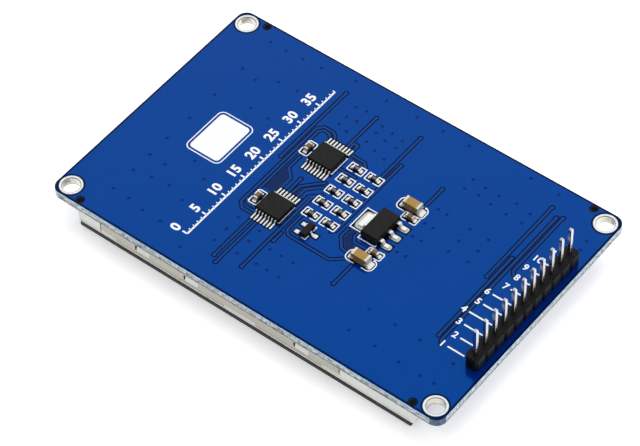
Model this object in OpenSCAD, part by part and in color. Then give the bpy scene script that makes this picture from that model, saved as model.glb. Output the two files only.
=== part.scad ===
// Small TFT display module, lying on its display face with the back of its
// circuit board and its header pins upwards.
// Millimetres. Origin at the middle of the footprint, on the touch face.
// +X runs along the board towards the pin header, +Y across it, +Z up from
// the display face to the pins.

/* [Circuit board] */
// Board length along X
board_length = 80; // [78:0.5:90]
// Board width along Y
board_width = 51; // [50.5:0.5:60]
// Board thickness
board_thickness = 1.6; // [1.0:0.1:2.0]
// Radius of the board's corners
board_corner_radius = 1.9; // [1:0.1:3.5]
// Distance between mounting holes along X
hole_spacing_x = 75; // [74:0.5:76]
// Distance between mounting holes along Y
hole_spacing_y = 46; // [45:0.5:47]
// Diameter of a mounting hole
hole_diameter = 3.2; // [2.5:0.1:3.4]
// Distance between locating holes along X
locating_spacing_x = 68.4; // [66:0.1:69]
// Distance between locating holes along Y
locating_spacing_y = 49; // [48:0.1:49]
// Diameter of a locating hole
locating_diameter = 1.3; // [0.8:0.1:1.3]

/* [Display panel] */
// Length of the moulded panel frame along X
panel_length = 69.2; // [69:0.1:70]
// Width of the moulded panel frame along Y
panel_width = 50; // [49.8:0.1:50.4]
// Thickness of the touch film on the front
film_thickness = 0.19; // [0.15:0.01:0.25]
// Thickness of the touch glass
touch_glass_thickness = 0.66; // [0.5:0.01:0.8]
// Height of the tray's back above the touch face
tray_back_height = 4.4; // [4.3:0.05:4.8]
// Thickness of the tray's sheet steel
tray_thickness = 0.2; // [0.15:0.01:0.25]
// Thickness of the tape between tray and board
tape_thickness = 0.2; // [0.15:0.01:0.3]
// Start of the tray's side walls along X
wall_start = -29.6; // [-31:0.1:-29]
// End of the tray's side walls along X
wall_end = 20.15; // [20:0.05:22]
// Length of a latch window in the tray's wall
window_length = 3.1; // [2.8:0.1:3.4]

/* [Pin header] */
// Number of pins
pin_count = 11; // [4:1:13]
// Distance between pins
pin_pitch = 2.54; // [2.54]
// Side of a square pin
pin_side = 0.64; // [0.5:0.01:0.64]
// Length of a pin above the header body
pin_free_length = 6; // [4:0.5:12]
// Length of a pin below the board
pin_tail = 1.4; // [1:0.1:2]
// Distance of the row of pins from the middle of the board
header_x = 37.5; // [37:0.1:38]

/* [Chips] */
// Length of the touch controller's body
controller_length = 5; // [4.9:0.1:5.1]
// Leads on one side of the touch controller
controller_leads = 8; // [4:1:8]
// Length of the level shifter's body
shifter_length = 5; // [4.9:0.1:5.1]
// Leads on one side of the level shifter
shifter_leads = 7; // [4:1:7]
// Distance between the leads of both chips
chip_pitch = 0.65; // [0.65]
// Width of both chips' bodies across the leads
chip_width = 4.4; // [4.2:0.1:4.5]
// Height of both chips' bodies
chip_height = 0.95; // [0.8:0.05:1.1]

/* [Chip resistors and capacitors] */
// Rows of chip resistors
resistor_rows = 5; // [1:1:5]
// Distance between rows of chip resistors
resistor_pitch = 3.025; // [3:0.005:3.1]
// Height of a chip resistor
resistor_height = 0.45; // [0.35:0.05:0.55]
// Length of a large ceramic capacitor
bulk_length = 3.2; // [3:0.1:3.2]
// Width and height of a large ceramic capacitor
bulk_side = 1.6; // [1.2:0.1:1.8]

/* [Hidden] */
$fn = 48;

// Stack from the touch face upwards
spacer_z = film_thickness;
spacer_t = 0.1;
touch_glass_z = spacer_z + spacer_t;
gasket_z = touch_glass_z + touch_glass_thickness;
rim_z = gasket_z + 0.22;          // front rim of the moulded frame at its ends
wall_z = rim_z + 0.36;            // underside of the frame's ledge
steel_z = wall_z + 0.22;          // lower edge of the steel walls
front_polarizer_z = rim_z + 0.08;
filter_z = front_polarizer_z + 0.2;
tft_z = filter_z + 0.5;
rear_polarizer_z = tft_z + 0.5;
step_z = rear_polarizer_z + 0.05; // step that carries the display glass
upper_prism_z = rear_polarizer_z + 0.2;
lower_prism_z = upper_prism_z + 0.11;
diffuser_z = lower_prism_z + 0.12;
guide_z = diffuser_z + 0.12;
frame_top = tray_back_height - tray_thickness;
reflector_z = frame_top - 0.1;
board_z = tray_back_height + tape_thickness;
board_top = board_z + board_thickness;

// Display panel outlines
touch_x0 = -panel_length / 2 + 0.05;
touch_x1 = panel_length / 2 - 0.55;
touch_w = panel_width - 0.3;
gasket_w = panel_width - 0.6;
glass_l = panel_length - 1.8;
glass_w = panel_width - 2.2;
ledge = 3;                        // bare strip of the rear glass at the flex end
filter_x0 = -glass_l / 2 + ledge;
guide_x0 = -31.8;
guide_x1 = panel_length / 2 - 1.4;
guide_w = panel_width - 4.4;
skin = panel_width / 2 - tray_thickness;
bead = 0.1;                       // how far the beads and latches stand out
window_starts = [-22.2, -11.87, 10.85];
window_z0 = wall_z + 0.92;
window_z1 = wall_z + 2.09;
notch_spans = [[wall_start, -26.4], [-3.5, 3], [16.5, wall_end]];
notch_z1 = wall_z + 0.77;
hook_z0 = 2.95;                   // slot at the header end of each wall
hook_z1 = 3.6;

// Flexes at the end away from the header
flex_w = 26;
flex_t = 0.12;
flex_bend_x = -34;
flex_z0 = tft_z - flex_t;
flex_z1 = board_z;
flex_cz = (flex_z0 + flex_z1) / 2;
flex_r = (flex_z1 - flex_z0) / 2;
tail_y0 = 14.2;
tail_y1 = 18.7;
tail_t = spacer_t;
tail_bend_x = touch_x0 - 0.1;
tail_cz = (spacer_z + board_z) / 2;
tail_r = (board_z - spacer_z) / 2;

// Parts on the board
body_h = 2.54;
header_l = pin_count * pin_pitch;
pin_tip = board_top + body_h + pin_free_length;
drill = 1.0;
controller_at = [-7.17, 6.8];
shifter_at = [-7.35, -6.75];
regulator_at = [9.1, 0.1];
transistor_at = [-0.05, -7.45];
bulk_at = [[10.6, 6.8], [10.55, -6.95]];
bypass_x_at = [[11.55, 4.85], [11.55, -4.6]];
bypass_y_at = [[-11.17, 6.85], [-11.17, -6.53]];
resistor_columns = [-1.9, 1.75];
resistor_top = 8;
small_l = 1.6;
small_w = 0.8;

module rounded_rect(l, w, r) {
    square([l - 2 * r, w], center = true);
    square([l, w - 2 * r], center = true);
    for (x = [-1, 1], y = [-1, 1])
        translate([x * (l / 2 - r), y * (w / 2 - r)]) circle(r);
}

module at_corners(dx, dy) {
    for (x = [-1, 1], y = [-1, 1]) translate([x * dx / 2, y * dy / 2]) children();
}

// Box whose twelve edges carry a small chamfer
module eased_box(l, w, h, c) {
    intersection() {
        linear_extrude(h) eased_outline(l, w, c);
        translate([0, w, h / 2]) rotate([90, 0, 0]) linear_extrude(2 * w) eased_outline(l, h, c);
        translate([-l, 0, h / 2]) rotate([90, 0, 90]) linear_extrude(2 * l) eased_outline(w, h, c);
    }
}

module eased_outline(l, w, c) {
    polygon([[-l / 2 + c, -w / 2], [l / 2 - c, -w / 2], [l / 2, -w / 2 + c], [l / 2, w / 2 - c],
        [l / 2 - c, w / 2], [-l / 2 + c, w / 2], [-l / 2, w / 2 - c], [-l / 2, -w / 2 + c]]);
}

// Moulded chip body with drafted sides about its parting line
module chip_body(l, w, h, lift) {
    d = h * 0.09;
    m = lift + h * 0.5;
    intersection() {
        translate([0, w, 0]) rotate([90, 0, 0]) linear_extrude(2 * w)
            polygon([[-l / 2 + d, lift], [l / 2 - d, lift], [l / 2, m], [l / 2 - d, lift + h], [-l / 2 + d, lift + h], [-l / 2, m]]);
        translate([-l, 0, 0]) rotate([90, 0, 90]) linear_extrude(2 * l)
            polygon([[-w / 2 + d, lift], [w / 2 - d, lift], [w / 2, m], [w / 2 - d, lift + h], [-w / 2 + d, lift + h], [-w / 2, m]]);
    }
}

// Gull-wing lead: leaves a body face at u0 and stands on its foot up to u1
module gull_lead(u0, u1, z, t, foot, width) {
    k = u1 - foot;
    s = (k - u0) * 0.45;
    translate([0, width / 2, 0]) rotate([90, 0, 0]) linear_extrude(width)
        polygon([[u0, z - t / 2], [u0 + s, z - t / 2], [k - t * 0.6, 0], [u1, 0], [u1, t],
            [k + t * 0.2, t], [u0 + s + t * 0.6, z + t / 2], [u0, z + t / 2]]);
}

module chip_leads(n, w, h, lift) {
    for (side = [0, 180], i = [0:n - 1])
        rotate(side + 90) translate([0, (i - (n - 1) / 2) * chip_pitch, 0])
            gull_lead(w / 2, w / 2 + 1, lift + h * 0.5, 0.13, 0.55, 0.22);
}

// End caps of a small part of length l, each band long
module end_caps(l, w, h, band) {
    for (s = [-1, 1]) translate([s * (l - band) / 2, 0, 0]) eased_box(band, w, h, 0.05);
}

module middle_block(l, w, h, band) {
    inset = 0.02;
    translate([0, 0, h / 2]) cube([l - 2 * band, w - 2 * inset, h - 2 * inset], center = true);
}

// Sheet lying between two X positions
module sheet(x0, x1, w, z, t) {
    translate([x0, -w / 2, z]) cube([x1 - x0, w, t]);
}

// Sheet from x0 to x1 with an opening that leaves a margin m0, m1 at the ends and iw across
module ring_sheet(x0, x1, w, m0, m1, iw, z, t) {
    translate([0, 0, z]) linear_extrude(t) difference() {
        translate([x0, -w / 2]) square([x1 - x0, w]);
        translate([x0 + m0, -iw / 2]) square([x1 - x0 - m0 - m1, iw]);
    }
}

// Half turn of a flex about an axis along Y, open towards +X
module flex_bend(cx, cz, r, t, y0, y1) {
    translate([cx, y1, cz]) rotate([90, 0, 0]) linear_extrude(y1 - y0) difference() {
        circle(r);
        circle(r - t);
        translate([0, -2 * r]) square([2 * r, 4 * r]);
    }
}

module circuit_board() {
    color([0.06, 0.27, 0.58]) translate([0, 0, board_z]) difference() {
        linear_extrude(board_thickness) rounded_rect(board_length, board_width, board_corner_radius);
        translate([0, 0, -1]) {
            at_corners(hole_spacing_x, hole_spacing_y) cylinder(h = board_thickness + 2, d = hole_diameter);
            at_corners(locating_spacing_x, locating_spacing_y) cylinder(h = board_thickness + 2, d = locating_diameter, $fn = 32);
            for (i = [0:pin_count - 1]) translate([header_x, (i - (pin_count - 1) / 2) * pin_pitch, 0])
                cylinder(h = board_thickness + 2, d = drill, $fn = 24);
        }
    }
}

module pin_header_body() {
    c = 0.42;
    color([0.06, 0.06, 0.06]) translate([header_x, 0, board_top]) difference() {
        for (i = [0:pin_count - 1]) translate([0, (i - (pin_count - 1) / 2) * pin_pitch, 0])
            linear_extrude(body_h) eased_outline(2.54, pin_pitch, c);
        for (i = [0:pin_count - 1]) translate([0, (i - (pin_count - 1) / 2) * pin_pitch, body_h / 2])
            cube([pin_side, pin_side, body_h + 2], center = true);
        for (i = [1:pin_count - 1]) translate([0, (i - pin_count / 2) * pin_pitch, 0])
            cube([3, 0.7, 0.4], center = true);
    }
}

module pin_header_pins() {
    z0 = board_z - pin_tail;
    h = pin_tip - z0;
    a = pin_side / 2;
    t = 0.13;
    color([0.82, 0.82, 0.8])
    for (i = [0:pin_count - 1]) translate([header_x, (i - (pin_count - 1) / 2) * pin_pitch, z0])
        intersection() {
            translate([0, 1, 0]) rotate([90, 0, 0]) linear_extrude(2)
                polygon([[-a + t, 0], [a - t, 0], [a, 0.3], [a, h - 0.3], [a - t, h], [-a + t, h], [-a, h - 0.3], [-a, 0.3]]);
            translate([-1, 0, 0]) rotate([90, 0, 90]) linear_extrude(2)
                polygon([[-a + t, 0], [a - t, 0], [a, 0.3], [a, h - 0.3], [a - t, h], [-a + t, h], [-a, h - 0.3], [-a, 0.3]]);
        }
}

module header_solder_joints() {
    color([0.8, 0.8, 0.8])
    for (i = [0:pin_count - 1]) translate([header_x, (i - (pin_count - 1) / 2) * pin_pitch, 0])
        difference() {
            union() {
                translate([0, 0, board_z]) cylinder(h = board_thickness, d = drill, $fn = 24);
                translate([0, 0, board_z - 0.12]) cylinder(h = 0.12, r = 0.85, $fn = 24);
                translate([0, 0, board_z - 0.8]) cylinder(h = 0.68, r1 = 0.5, r2 = 0.8, $fn = 24);
            }
            translate([0, 0, board_z]) cube([pin_side, pin_side, 8], center = true);
        }
}

module touch_controller_body() {
    color([0.1, 0.1, 0.1]) translate([controller_at[0], controller_at[1], board_top])
        difference() {
            chip_body(controller_length, chip_width, chip_height, 0.1);
            translate([-controller_length / 2 + 0.7, -chip_width / 2 + 0.75, 0.1 + chip_height - 0.04])
                cylinder(h = 1, d = 0.5, $fn = 24);
        }
}

module touch_controller_leads() {
    color([0.8, 0.8, 0.8]) translate([controller_at[0], controller_at[1], board_top])
        chip_leads(controller_leads, chip_width, chip_height, 0.1);
}

module level_shifter_body() {
    color([0.1, 0.1, 0.1]) translate([shifter_at[0], shifter_at[1], board_top])
        difference() {
            chip_body(shifter_length, chip_width, chip_height, 0.1);
            translate([-shifter_length / 2 + 0.7, -chip_width / 2 + 0.75, 0.1 + chip_height - 0.04])
                cylinder(h = 1, d = 0.5, $fn = 24);
        }
}

module level_shifter_leads() {
    color([0.8, 0.8, 0.8]) translate([shifter_at[0], shifter_at[1], board_top])
        chip_leads(shifter_leads, chip_width, chip_height, 0.1);
}

module voltage_regulator_body() {
    color([0.1, 0.1, 0.1]) translate([regulator_at[0], regulator_at[1], board_top])
        chip_body(3.5, 6.5, 1.55, 0.06);
}

module voltage_regulator_leads() {
    mid = 0.06 + 1.55 * 0.5;
    color([0.8, 0.8, 0.8]) translate([regulator_at[0], regulator_at[1], board_top]) {
        for (y = [-2.3, 0, 2.3]) translate([0, y, 0]) gull_lead(1.75, 3.5, mid, 0.28, 0.9, 0.7);
        rotate(180) gull_lead(1.75, 3.5, mid, 0.28, 0.9, 3);
    }
}

module backlight_transistor_body() {
    color([0.1, 0.1, 0.1]) translate([transistor_at[0], transistor_at[1], board_top])
        chip_body(1.3, 2.9, 0.95, 0.05);
}

module backlight_transistor_leads() {
    mid = 0.05 + 0.95 * 0.5;
    color([0.8, 0.8, 0.8]) translate([transistor_at[0], transistor_at[1], board_top]) {
        gull_lead(0.65, 1.2, mid, 0.12, 0.3, 0.42);
        for (y = [-0.95, 0.95]) translate([0, y, 0]) rotate(180) gull_lead(0.65, 1.2, mid, 0.12, 0.3, 0.42);
    }
}

module bulk_capacitor_bodies() {
    color([0.62, 0.5, 0.36]) for (p = bulk_at) translate([p[0], p[1], board_top])
        middle_block(bulk_length, bulk_side, bulk_side, 0.5);
}

module bulk_capacitor_terminals() {
    color([0.85, 0.84, 0.8]) for (p = bulk_at) translate([p[0], p[1], board_top])
        end_caps(bulk_length, bulk_side, bulk_side, 0.5);
}

module bypass_capacitor_bodies() {
    color([0.6, 0.48, 0.35]) {
        for (p = bypass_x_at) translate([p[0], p[1], board_top]) middle_block(small_l, small_w, 0.8, 0.35);
        for (p = bypass_y_at) translate([p[0], p[1], board_top]) rotate(90) middle_block(small_l, small_w, 0.8, 0.35);
    }
}

module bypass_capacitor_terminals() {
    color([0.85, 0.84, 0.8]) {
        for (p = bypass_x_at) translate([p[0], p[1], board_top]) end_caps(small_l, small_w, 0.8, 0.35);
        for (p = bypass_y_at) translate([p[0], p[1], board_top]) rotate(90) end_caps(small_l, small_w, 0.8, 0.35);
    }
}

module chip_resistor_bodies() {
    color([0.12, 0.12, 0.12]) for (x = resistor_columns, i = [0:resistor_rows - 1])
        translate([x, resistor_top - i * resistor_pitch, board_top])
            middle_block(small_l, small_w, resistor_height, 0.3);
}

module chip_resistor_terminals() {
    color([0.85, 0.85, 0.85]) for (x = resistor_columns, i = [0:resistor_rows - 1])
        translate([x, resistor_top - i * resistor_pitch, board_top])
            end_caps(small_l, small_w, resistor_height, 0.3);
}

module panel_tape() {
    color([0.9, 0.9, 0.85]) for (y = [14, -23])
        translate([-20, y, tray_back_height]) cube([52, 9, tape_thickness]);
}

// Steel section across the panel: back, two rounded bends and two side walls
module tray_section() {
    h = tray_back_height - steel_z;
    r = 0.4;
    difference() {
        union() {
            translate([-panel_width / 2, 0]) square([panel_width, h - r]);
            translate([-panel_width / 2 + r, 0]) square([panel_width - 2 * r, h]);
            for (s = [-1, 1]) translate([s * (panel_width / 2 - r), h - r]) circle(r);
        }
        translate([-skin, -1]) square([2 * skin, h - tray_thickness + 1]);
    }
}

module backlight_tray() {
    color([0.74, 0.73, 0.68]) {
        difference() {
            translate([wall_start, 0, steel_z]) rotate([90, 0, 90])
                linear_extrude(wall_end - wall_start) tray_section();
            for (x = window_starts)
                translate([x, -panel_width, window_z0]) cube([window_length, 2 * panel_width, window_z1 - window_z0]);
            translate([wall_end - 0.25, -panel_width, hook_z0]) cube([1, 2 * panel_width, hook_z1 - hook_z0]);
            for (n = notch_spans)
                translate([n[0] - (n[0] == wall_start ? 1 : 0), -panel_width, wall_z - 1])
                    cube([n[1] - n[0] + (n[0] == wall_start || n[1] == wall_end ? 1 : 0), 2 * panel_width, notch_z1 - wall_z + 1]);
        }
        translate([0, 0, frame_top]) linear_extrude(tray_thickness)
            square([panel_length - 1, panel_width - 1.6], center = true);
    }
}

// Wedge latch that springs into a window of the tray
module latch(x0, x1) {
    translate([x0, 0, 0]) rotate([90, 0, 90]) linear_extrude(x1 - x0)
        polygon([[skin - 0.3, window_z0 + 0.17], [panel_width / 2 + bead, window_z0 + 0.17],
            [panel_width / 2 + bead, window_z0 + 0.38], [skin + 0.02, window_z1 - 0.05], [skin - 0.3, window_z1 - 0.05]]);
}

module panel_frame() {
    l = panel_length;
    w = panel_width;
    c = 0.15;
    e = 0.18;
    h = frame_top - rim_z;
    color([0.93, 0.93, 0.91]) {
        difference() {
            translate([0, 0, rim_z]) intersection() {
                linear_extrude(h) eased_outline(l, w, c);
                translate([0, w, 0]) rotate([90, 0, 0]) linear_extrude(2 * w)
                    polygon([[-l / 2 + e, 0], [l / 2 - e, 0], [l / 2, e], [l / 2, h], [-l / 2, h], [-l / 2, e]]);
                translate([-l, 0, 0]) rotate([90, 0, 90]) linear_extrude(2 * l)
                    polygon([[-w / 2 + e, 0], [w / 2 - e, 0], [w / 2, e], [w / 2, h], [-w / 2, h], [-w / 2, e]]);
            }
            // pocket for the display glass
            translate([0, 0, rim_z - 1]) linear_extrude(step_z - rim_z + 1) square([glass_l + 0.4, glass_w + 0.4], center = true);
            // opening for the light guide and its sheets
            translate([-33.2, -guide_w / 2 - 0.2, 0]) cube([33.2 + guide_x1 + 0.2, guide_w + 0.4, 10]);
            // lower rim between the ends, and the seats of the steel walls
            for (s = [0, 180]) rotate(s) {
                if (s == 0) side_relief(wall_start, wall_end, notch_spans);
                else mirror([1, 0, 0]) side_relief(wall_start, wall_end, notch_spans);
            }
            // pockets beside and below the latches, and at the header end of the walls
            for (m = [0, 1]) mirror([0, m, 0]) {
                for (x = window_starts) translate([x, skin - 1.1, window_z0 + 0.1]) cube([0.32, 5, window_z1 - window_z0 - 0.1]);
                for (x = window_starts) translate([x + 0.03, skin - 0.2, window_z0 + 0.02]) cube([window_length - 0.08, 5, 0.17]);
                translate([wall_end - 0.25, skin - 1.1, hook_z0]) cube([0.3, 5, hook_z1 - hook_z0]);
            }
            // way out for the display flex
            translate([-l / 2 - 1, -flex_w / 2 - 0.3, rim_z - 1]) cube([2, flex_w + 0.6, step_z - 0.2 - rim_z + 1]);
            // way out for the backlight flex
            translate([-l / 2 - 1, 8.3, reflector_z]) cube([3, 3.4, 1]);
        }
        for (x = window_starts, m = [0, 1]) mirror([0, m, 0])
            latch(x + 0.35, x + window_length - 0.05);
        // bead along the lower edge of each long side
        for (m = [0, 1]) mirror([0, m, 0]) translate([-l / 2 + 0.25, w / 2 - 0.06, wall_z])
            cube([l - 0.5, 0.06 + bead, 0.2]);
    }
}

module side_relief(x0, x1, ribs) {
    translate([x0 - 0.03, glass_w / 2 + 0.2, rim_z - 1]) cube([x1 - x0 + 0.06, 5, wall_z - rim_z + 1]);
    translate([x0 - 0.16, skin, rim_z - 1]) cube([0.14, 5, 10]);
    difference() {
        translate([x0 - 0.16, skin, steel_z]) cube([x1 - x0 + 0.22, 5, 10]);
        for (n = ribs) translate([n[0] + 0.03 - (n[0] == x0 ? 0.05 : 0), skin - 1, wall_z])
            cube([n[1] - n[0] - 0.06 + (n[0] == x0 ? 0.05 : n[1] == x1 ? 1 : 0), 1 + tray_thickness, notch_z1 - 0.03 - wall_z]);
    }
}

module reflector_sheet() {
    color([0.97, 0.97, 0.97]) sheet(guide_x0 + 1, guide_x1, guide_w, reflector_z, 0.1);
}

module light_guide() {
    color([0.85, 0.93, 0.95]) sheet(guide_x0, guide_x1, guide_w, guide_z, reflector_z - guide_z);
}

module diffuser_sheet() {
    color([0.96, 0.96, 0.96]) sheet(guide_x0 + 0.4, guide_x1, guide_w - 0.4, diffuser_z, 0.12);
}

module lower_prism_sheet() {
    color([0.88, 0.9, 0.93]) sheet(guide_x0 + 0.6, guide_x1, guide_w - 0.4, lower_prism_z, 0.12);
}

module upper_prism_sheet() {
    color([0.85, 0.88, 0.92]) sheet(guide_x0 + 0.6, guide_x1, guide_w - 0.4, upper_prism_z, 0.11);
}

module backlight_leds() {
    color([0.98, 0.95, 0.75]) for (y = [-15, -5, 5, 15])
        translate([guide_x0 - 1.1, y - 1.5, reflector_z - 0.8]) difference() {
            cube([1.05, 3, 0.8]);
            translate([0.75, 0.3, 0.15]) cube([1, 2.4, 0.5]);
        }
}

module backlight_flex() {
    color([0.85, 0.62, 0.2]) {
        translate([guide_x0 - 1.3, -18, reflector_z]) cube([2.25, 36, 0.1]);
        translate([-34.75, 8.5, reflector_z]) cube([2, 3, 0.1]);
    }
}

module light_shield_tape() {
    color([0.08, 0.08, 0.08]) ring_sheet(-glass_l / 2, glass_l / 2, glass_w, glass_l / 2 - 31.45,
        glass_l / 2 - guide_x1 + 0.05, guide_w + 0.3, rear_polarizer_z, 0.05);
}

module rear_polarizer() {
    color([0.25, 0.27, 0.28]) sheet(-31.3, guide_x1 - 0.2, guide_w, rear_polarizer_z, 0.2);
}

module tft_glass() {
    color([0.6, 0.7, 0.7, 0.6]) sheet(-glass_l / 2, glass_l / 2, glass_w, tft_z, 0.5);
}

module colour_filter_glass() {
    color([0.6, 0.7, 0.7, 0.6]) sheet(filter_x0, glass_l / 2, glass_w, filter_z, 0.5);
}

module front_polarizer() {
    color([0.12, 0.12, 0.13]) sheet(filter_x0 + 0.4, glass_l / 2 - 0.4, glass_w - 0.8, front_polarizer_z, 0.2);
}

module display_driver_chip() {
    color([0.3, 0.3, 0.33]) translate([filter_x0 - 1.4, -8.5, tft_z - 0.3]) cube([1, 17, 0.3]);
}

module display_flex() {
    color([0.8, 0.5, 0.15]) {
        translate([flex_bend_x, -flex_w / 2, flex_z0]) cube([1.3, flex_w, flex_t]);
        flex_bend(flex_bend_x, flex_cz, flex_r, flex_t, -flex_w / 2, flex_w / 2);
        translate([0, 0, flex_z1 - flex_t]) linear_extrude(flex_t)
            polygon([[flex_bend_x, -flex_w / 2], [flex_bend_x + 2.5, -flex_w / 2], [flex_bend_x + 4, -11.5], [-24, -11.5],
                [-24, 11.5], [flex_bend_x + 4, 11.5], [flex_bend_x + 2.5, flex_w / 2], [flex_bend_x, flex_w / 2]]);
    }
}

module touch_gasket() {
    color([0.1, 0.11, 0.1]) {
        ring_sheet(touch_x0, touch_x1, gasket_w, 1.9, 1.9, gasket_w - 3.6, gasket_z, rim_z - gasket_z);
        for (s = [-1, 1]) translate([wall_start, s > 0 ? glass_w / 2 + 0.2 : -gasket_w / 2, rim_z])
            cube([wall_end - wall_start, gasket_w / 2 - glass_w / 2 - 0.2, wall_z - rim_z]);
    }
}

// Outline of the touch glass and film, set back a little at the header end
module touch_outline() {
    translate([(touch_x0 + touch_x1) / 2, 0]) rounded_rect(touch_x1 - touch_x0, touch_w, 0.25);
}

module touch_glass() {
    color([0.1, 0.13, 0.13]) translate([0, 0, touch_glass_z]) linear_extrude(touch_glass_thickness) touch_outline();
}

module touch_spacer_frame() {
    color([0.12, 0.12, 0.12]) difference() {
        ring_sheet(touch_x0, touch_x1, touch_w, 2.2, 2.2, touch_w - 4.4, spacer_z, spacer_t);
        translate([touch_x0 - 1, tail_y0 - 0.1, 0]) cube([4, tail_y1 - tail_y0 + 0.2, 5]);
    }
}

module touch_film() {
    color([0.16, 0.17, 0.18]) linear_extrude(film_thickness) touch_outline();
}

module touch_flex() {
    w = tail_y1 - tail_y0;
    color([0.8, 0.5, 0.15]) {
        translate([tail_bend_x, tail_y0, spacer_z]) cube([2.1, w, tail_t]);
        flex_bend(tail_bend_x, tail_cz, tail_r, tail_t, tail_y0, tail_y1);
        translate([tail_bend_x, tail_y0, board_z - tail_t]) cube([5, w, tail_t]);
    }
}

circuit_board();
pin_header_body();
pin_header_pins();
header_solder_joints();
touch_controller_body();
touch_controller_leads();
level_shifter_body();
level_shifter_leads();
voltage_regulator_body();
voltage_regulator_leads();
backlight_transistor_body();
backlight_transistor_leads();
bulk_capacitor_bodies();
bulk_capacitor_terminals();
bypass_capacitor_bodies();
bypass_capacitor_terminals();
chip_resistor_bodies();
chip_resistor_terminals();
panel_tape();
backlight_tray();
panel_frame();
reflector_sheet();
light_guide();
diffuser_sheet();
lower_prism_sheet();
upper_prism_sheet();
backlight_leds();
backlight_flex();
light_shield_tape();
rear_polarizer();
tft_glass();
colour_filter_glass();
front_polarizer();
display_driver_chip();
display_flex();
touch_gasket();
touch_glass();
touch_spacer_frame();
touch_film();
touch_flex();
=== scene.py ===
import bpy, bmesh, math, random
import numpy as np
from mathutils import Vector, Matrix, noise
from mathutils.geometry import delaunay_2d_cdt


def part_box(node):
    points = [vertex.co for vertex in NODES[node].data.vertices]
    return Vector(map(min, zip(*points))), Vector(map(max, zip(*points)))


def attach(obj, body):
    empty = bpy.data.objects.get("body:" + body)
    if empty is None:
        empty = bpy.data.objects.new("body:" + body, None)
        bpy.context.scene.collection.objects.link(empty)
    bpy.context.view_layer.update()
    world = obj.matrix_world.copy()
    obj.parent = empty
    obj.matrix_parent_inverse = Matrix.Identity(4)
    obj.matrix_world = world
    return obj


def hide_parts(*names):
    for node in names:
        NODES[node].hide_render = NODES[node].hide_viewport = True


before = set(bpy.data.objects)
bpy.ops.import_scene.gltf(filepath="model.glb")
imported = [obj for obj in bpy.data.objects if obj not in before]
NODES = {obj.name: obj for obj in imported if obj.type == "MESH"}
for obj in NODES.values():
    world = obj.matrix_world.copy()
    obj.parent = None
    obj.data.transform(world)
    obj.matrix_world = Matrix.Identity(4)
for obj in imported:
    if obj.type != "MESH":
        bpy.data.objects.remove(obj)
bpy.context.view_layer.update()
MM = 0.001
random.seed(7)


def node_box(name):
    """A CAD node's lowest and highest corners in millimetres."""
    lo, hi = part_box(name)
    return [c / MM for c in lo], [c / MM for c in hi]


def lin(*rgb):
    """sRGB 0..255 to linear RGBA."""
    out = []
    for c in rgb:
        c = c / 255.0
        out.append(c / 12.92 if c <= 0.04045 else ((c + 0.055) / 1.055) ** 2.4)
    return (*out, 1.0)


# ---------------------------------------------------------------- frame sizes
B0, B1 = node_box("circuit_board")
X0, Y0, ZB = B0
X1, Y1, ZT = B1
H0, H1 = node_box("pin_header_body")
HEAD_X = (H0[0] + H1[0]) / 2
PITCH = 2.54
PINS = round((H1[1] - H0[1]) / PITCH)
PIN_Y = [(i - (PINS - 1) / 2) * PITCH for i in range(PINS)]
CORNER_R = 1.9
MOUNT = [(sx * 37.5, sy * 23.0) for sx in (-1, 1) for sy in (-1, 1)]
MOUNT_R = 1.6
LOCATE = [(sx * 34.2, sy * 24.5) for sx in (-1, 1) for sy in (-1, 1)]
LOCATE_R = 0.65


# ---------------------------------------------------------------- materials
def new_mat(name):
    m = bpy.data.materials.new(name)
    m.use_nodes = True
    nt = m.node_tree
    for n in list(nt.nodes):
        nt.nodes.remove(n)
    out = nt.nodes.new("ShaderNodeOutputMaterial")
    sh = nt.nodes.new("ShaderNodeBsdfPrincipled")
    nt.links.new(sh.outputs[0], out.inputs[0])
    co = nt.nodes.new("ShaderNodeTexCoord")
    return m, nt, sh, co


def stretch(nt, src, scale):
    mp = nt.nodes.new("ShaderNodeMapping")
    mp.inputs["Scale"].default_value = scale
    nt.links.new(src, mp.inputs["Vector"])
    return mp.outputs["Vector"]


def noise_of(nt, vec, size_mm, detail=3.0, rough=0.55, distortion=0.0, aniso=None):
    if aniso:
        vec = stretch(nt, vec, aniso)
    n = nt.nodes.new("ShaderNodeTexNoise")
    n.inputs["Scale"].default_value = 1000.0 / size_mm
    n.inputs["Detail"].default_value = detail
    n.inputs["Roughness"].default_value = rough
    n.inputs["Distortion"].default_value = distortion
    nt.links.new(vec, n.inputs["Vector"])
    return n.outputs["Fac"]


def ranged(nt, src, a, b, lo=0.3, hi=0.7):
    r = nt.nodes.new("ShaderNodeMapRange")
    r.inputs["From Min"].default_value = lo
    r.inputs["From Max"].default_value = hi
    r.inputs["To Min"].default_value = a
    r.inputs["To Max"].default_value = b
    nt.links.new(src, r.inputs["Value"])
    return r.outputs["Result"]


def mixed(nt, fac, a, b, mode="MIX"):
    m = nt.nodes.new("ShaderNodeMix")
    m.data_type = "RGBA"
    m.blend_type = mode
    m.clamp_factor = True
    for sock, v in (("A", a), ("B", b)):
        s = [i for i in m.inputs if i.name == sock and i.type == "RGBA"][0]
        if isinstance(v, tuple):
            s.default_value = v
        else:
            nt.links.new(v, s)
    f = [i for i in m.inputs if i.name == "Factor" and i.type == "VALUE"][0]
    if isinstance(fac, float):
        f.default_value = fac
    else:
        nt.links.new(fac, f)
    return [o for o in m.outputs if o.type == "RGBA"][0]


def bumped(nt, sh, height, strength, dist_mm, normal=None):
    b = nt.nodes.new("ShaderNodeBump")
    b.inputs["Strength"].default_value = strength
    b.inputs["Distance"].default_value = dist_mm * MM
    nt.links.new(height, b.inputs["Height"])
    if normal is not None:
        nt.links.new(normal, b.inputs["Normal"])
    if sh is not None:
        nt.links.new(b.outputs["Normal"], sh.inputs["Normal"])
    return b.outputs["Normal"]


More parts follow.
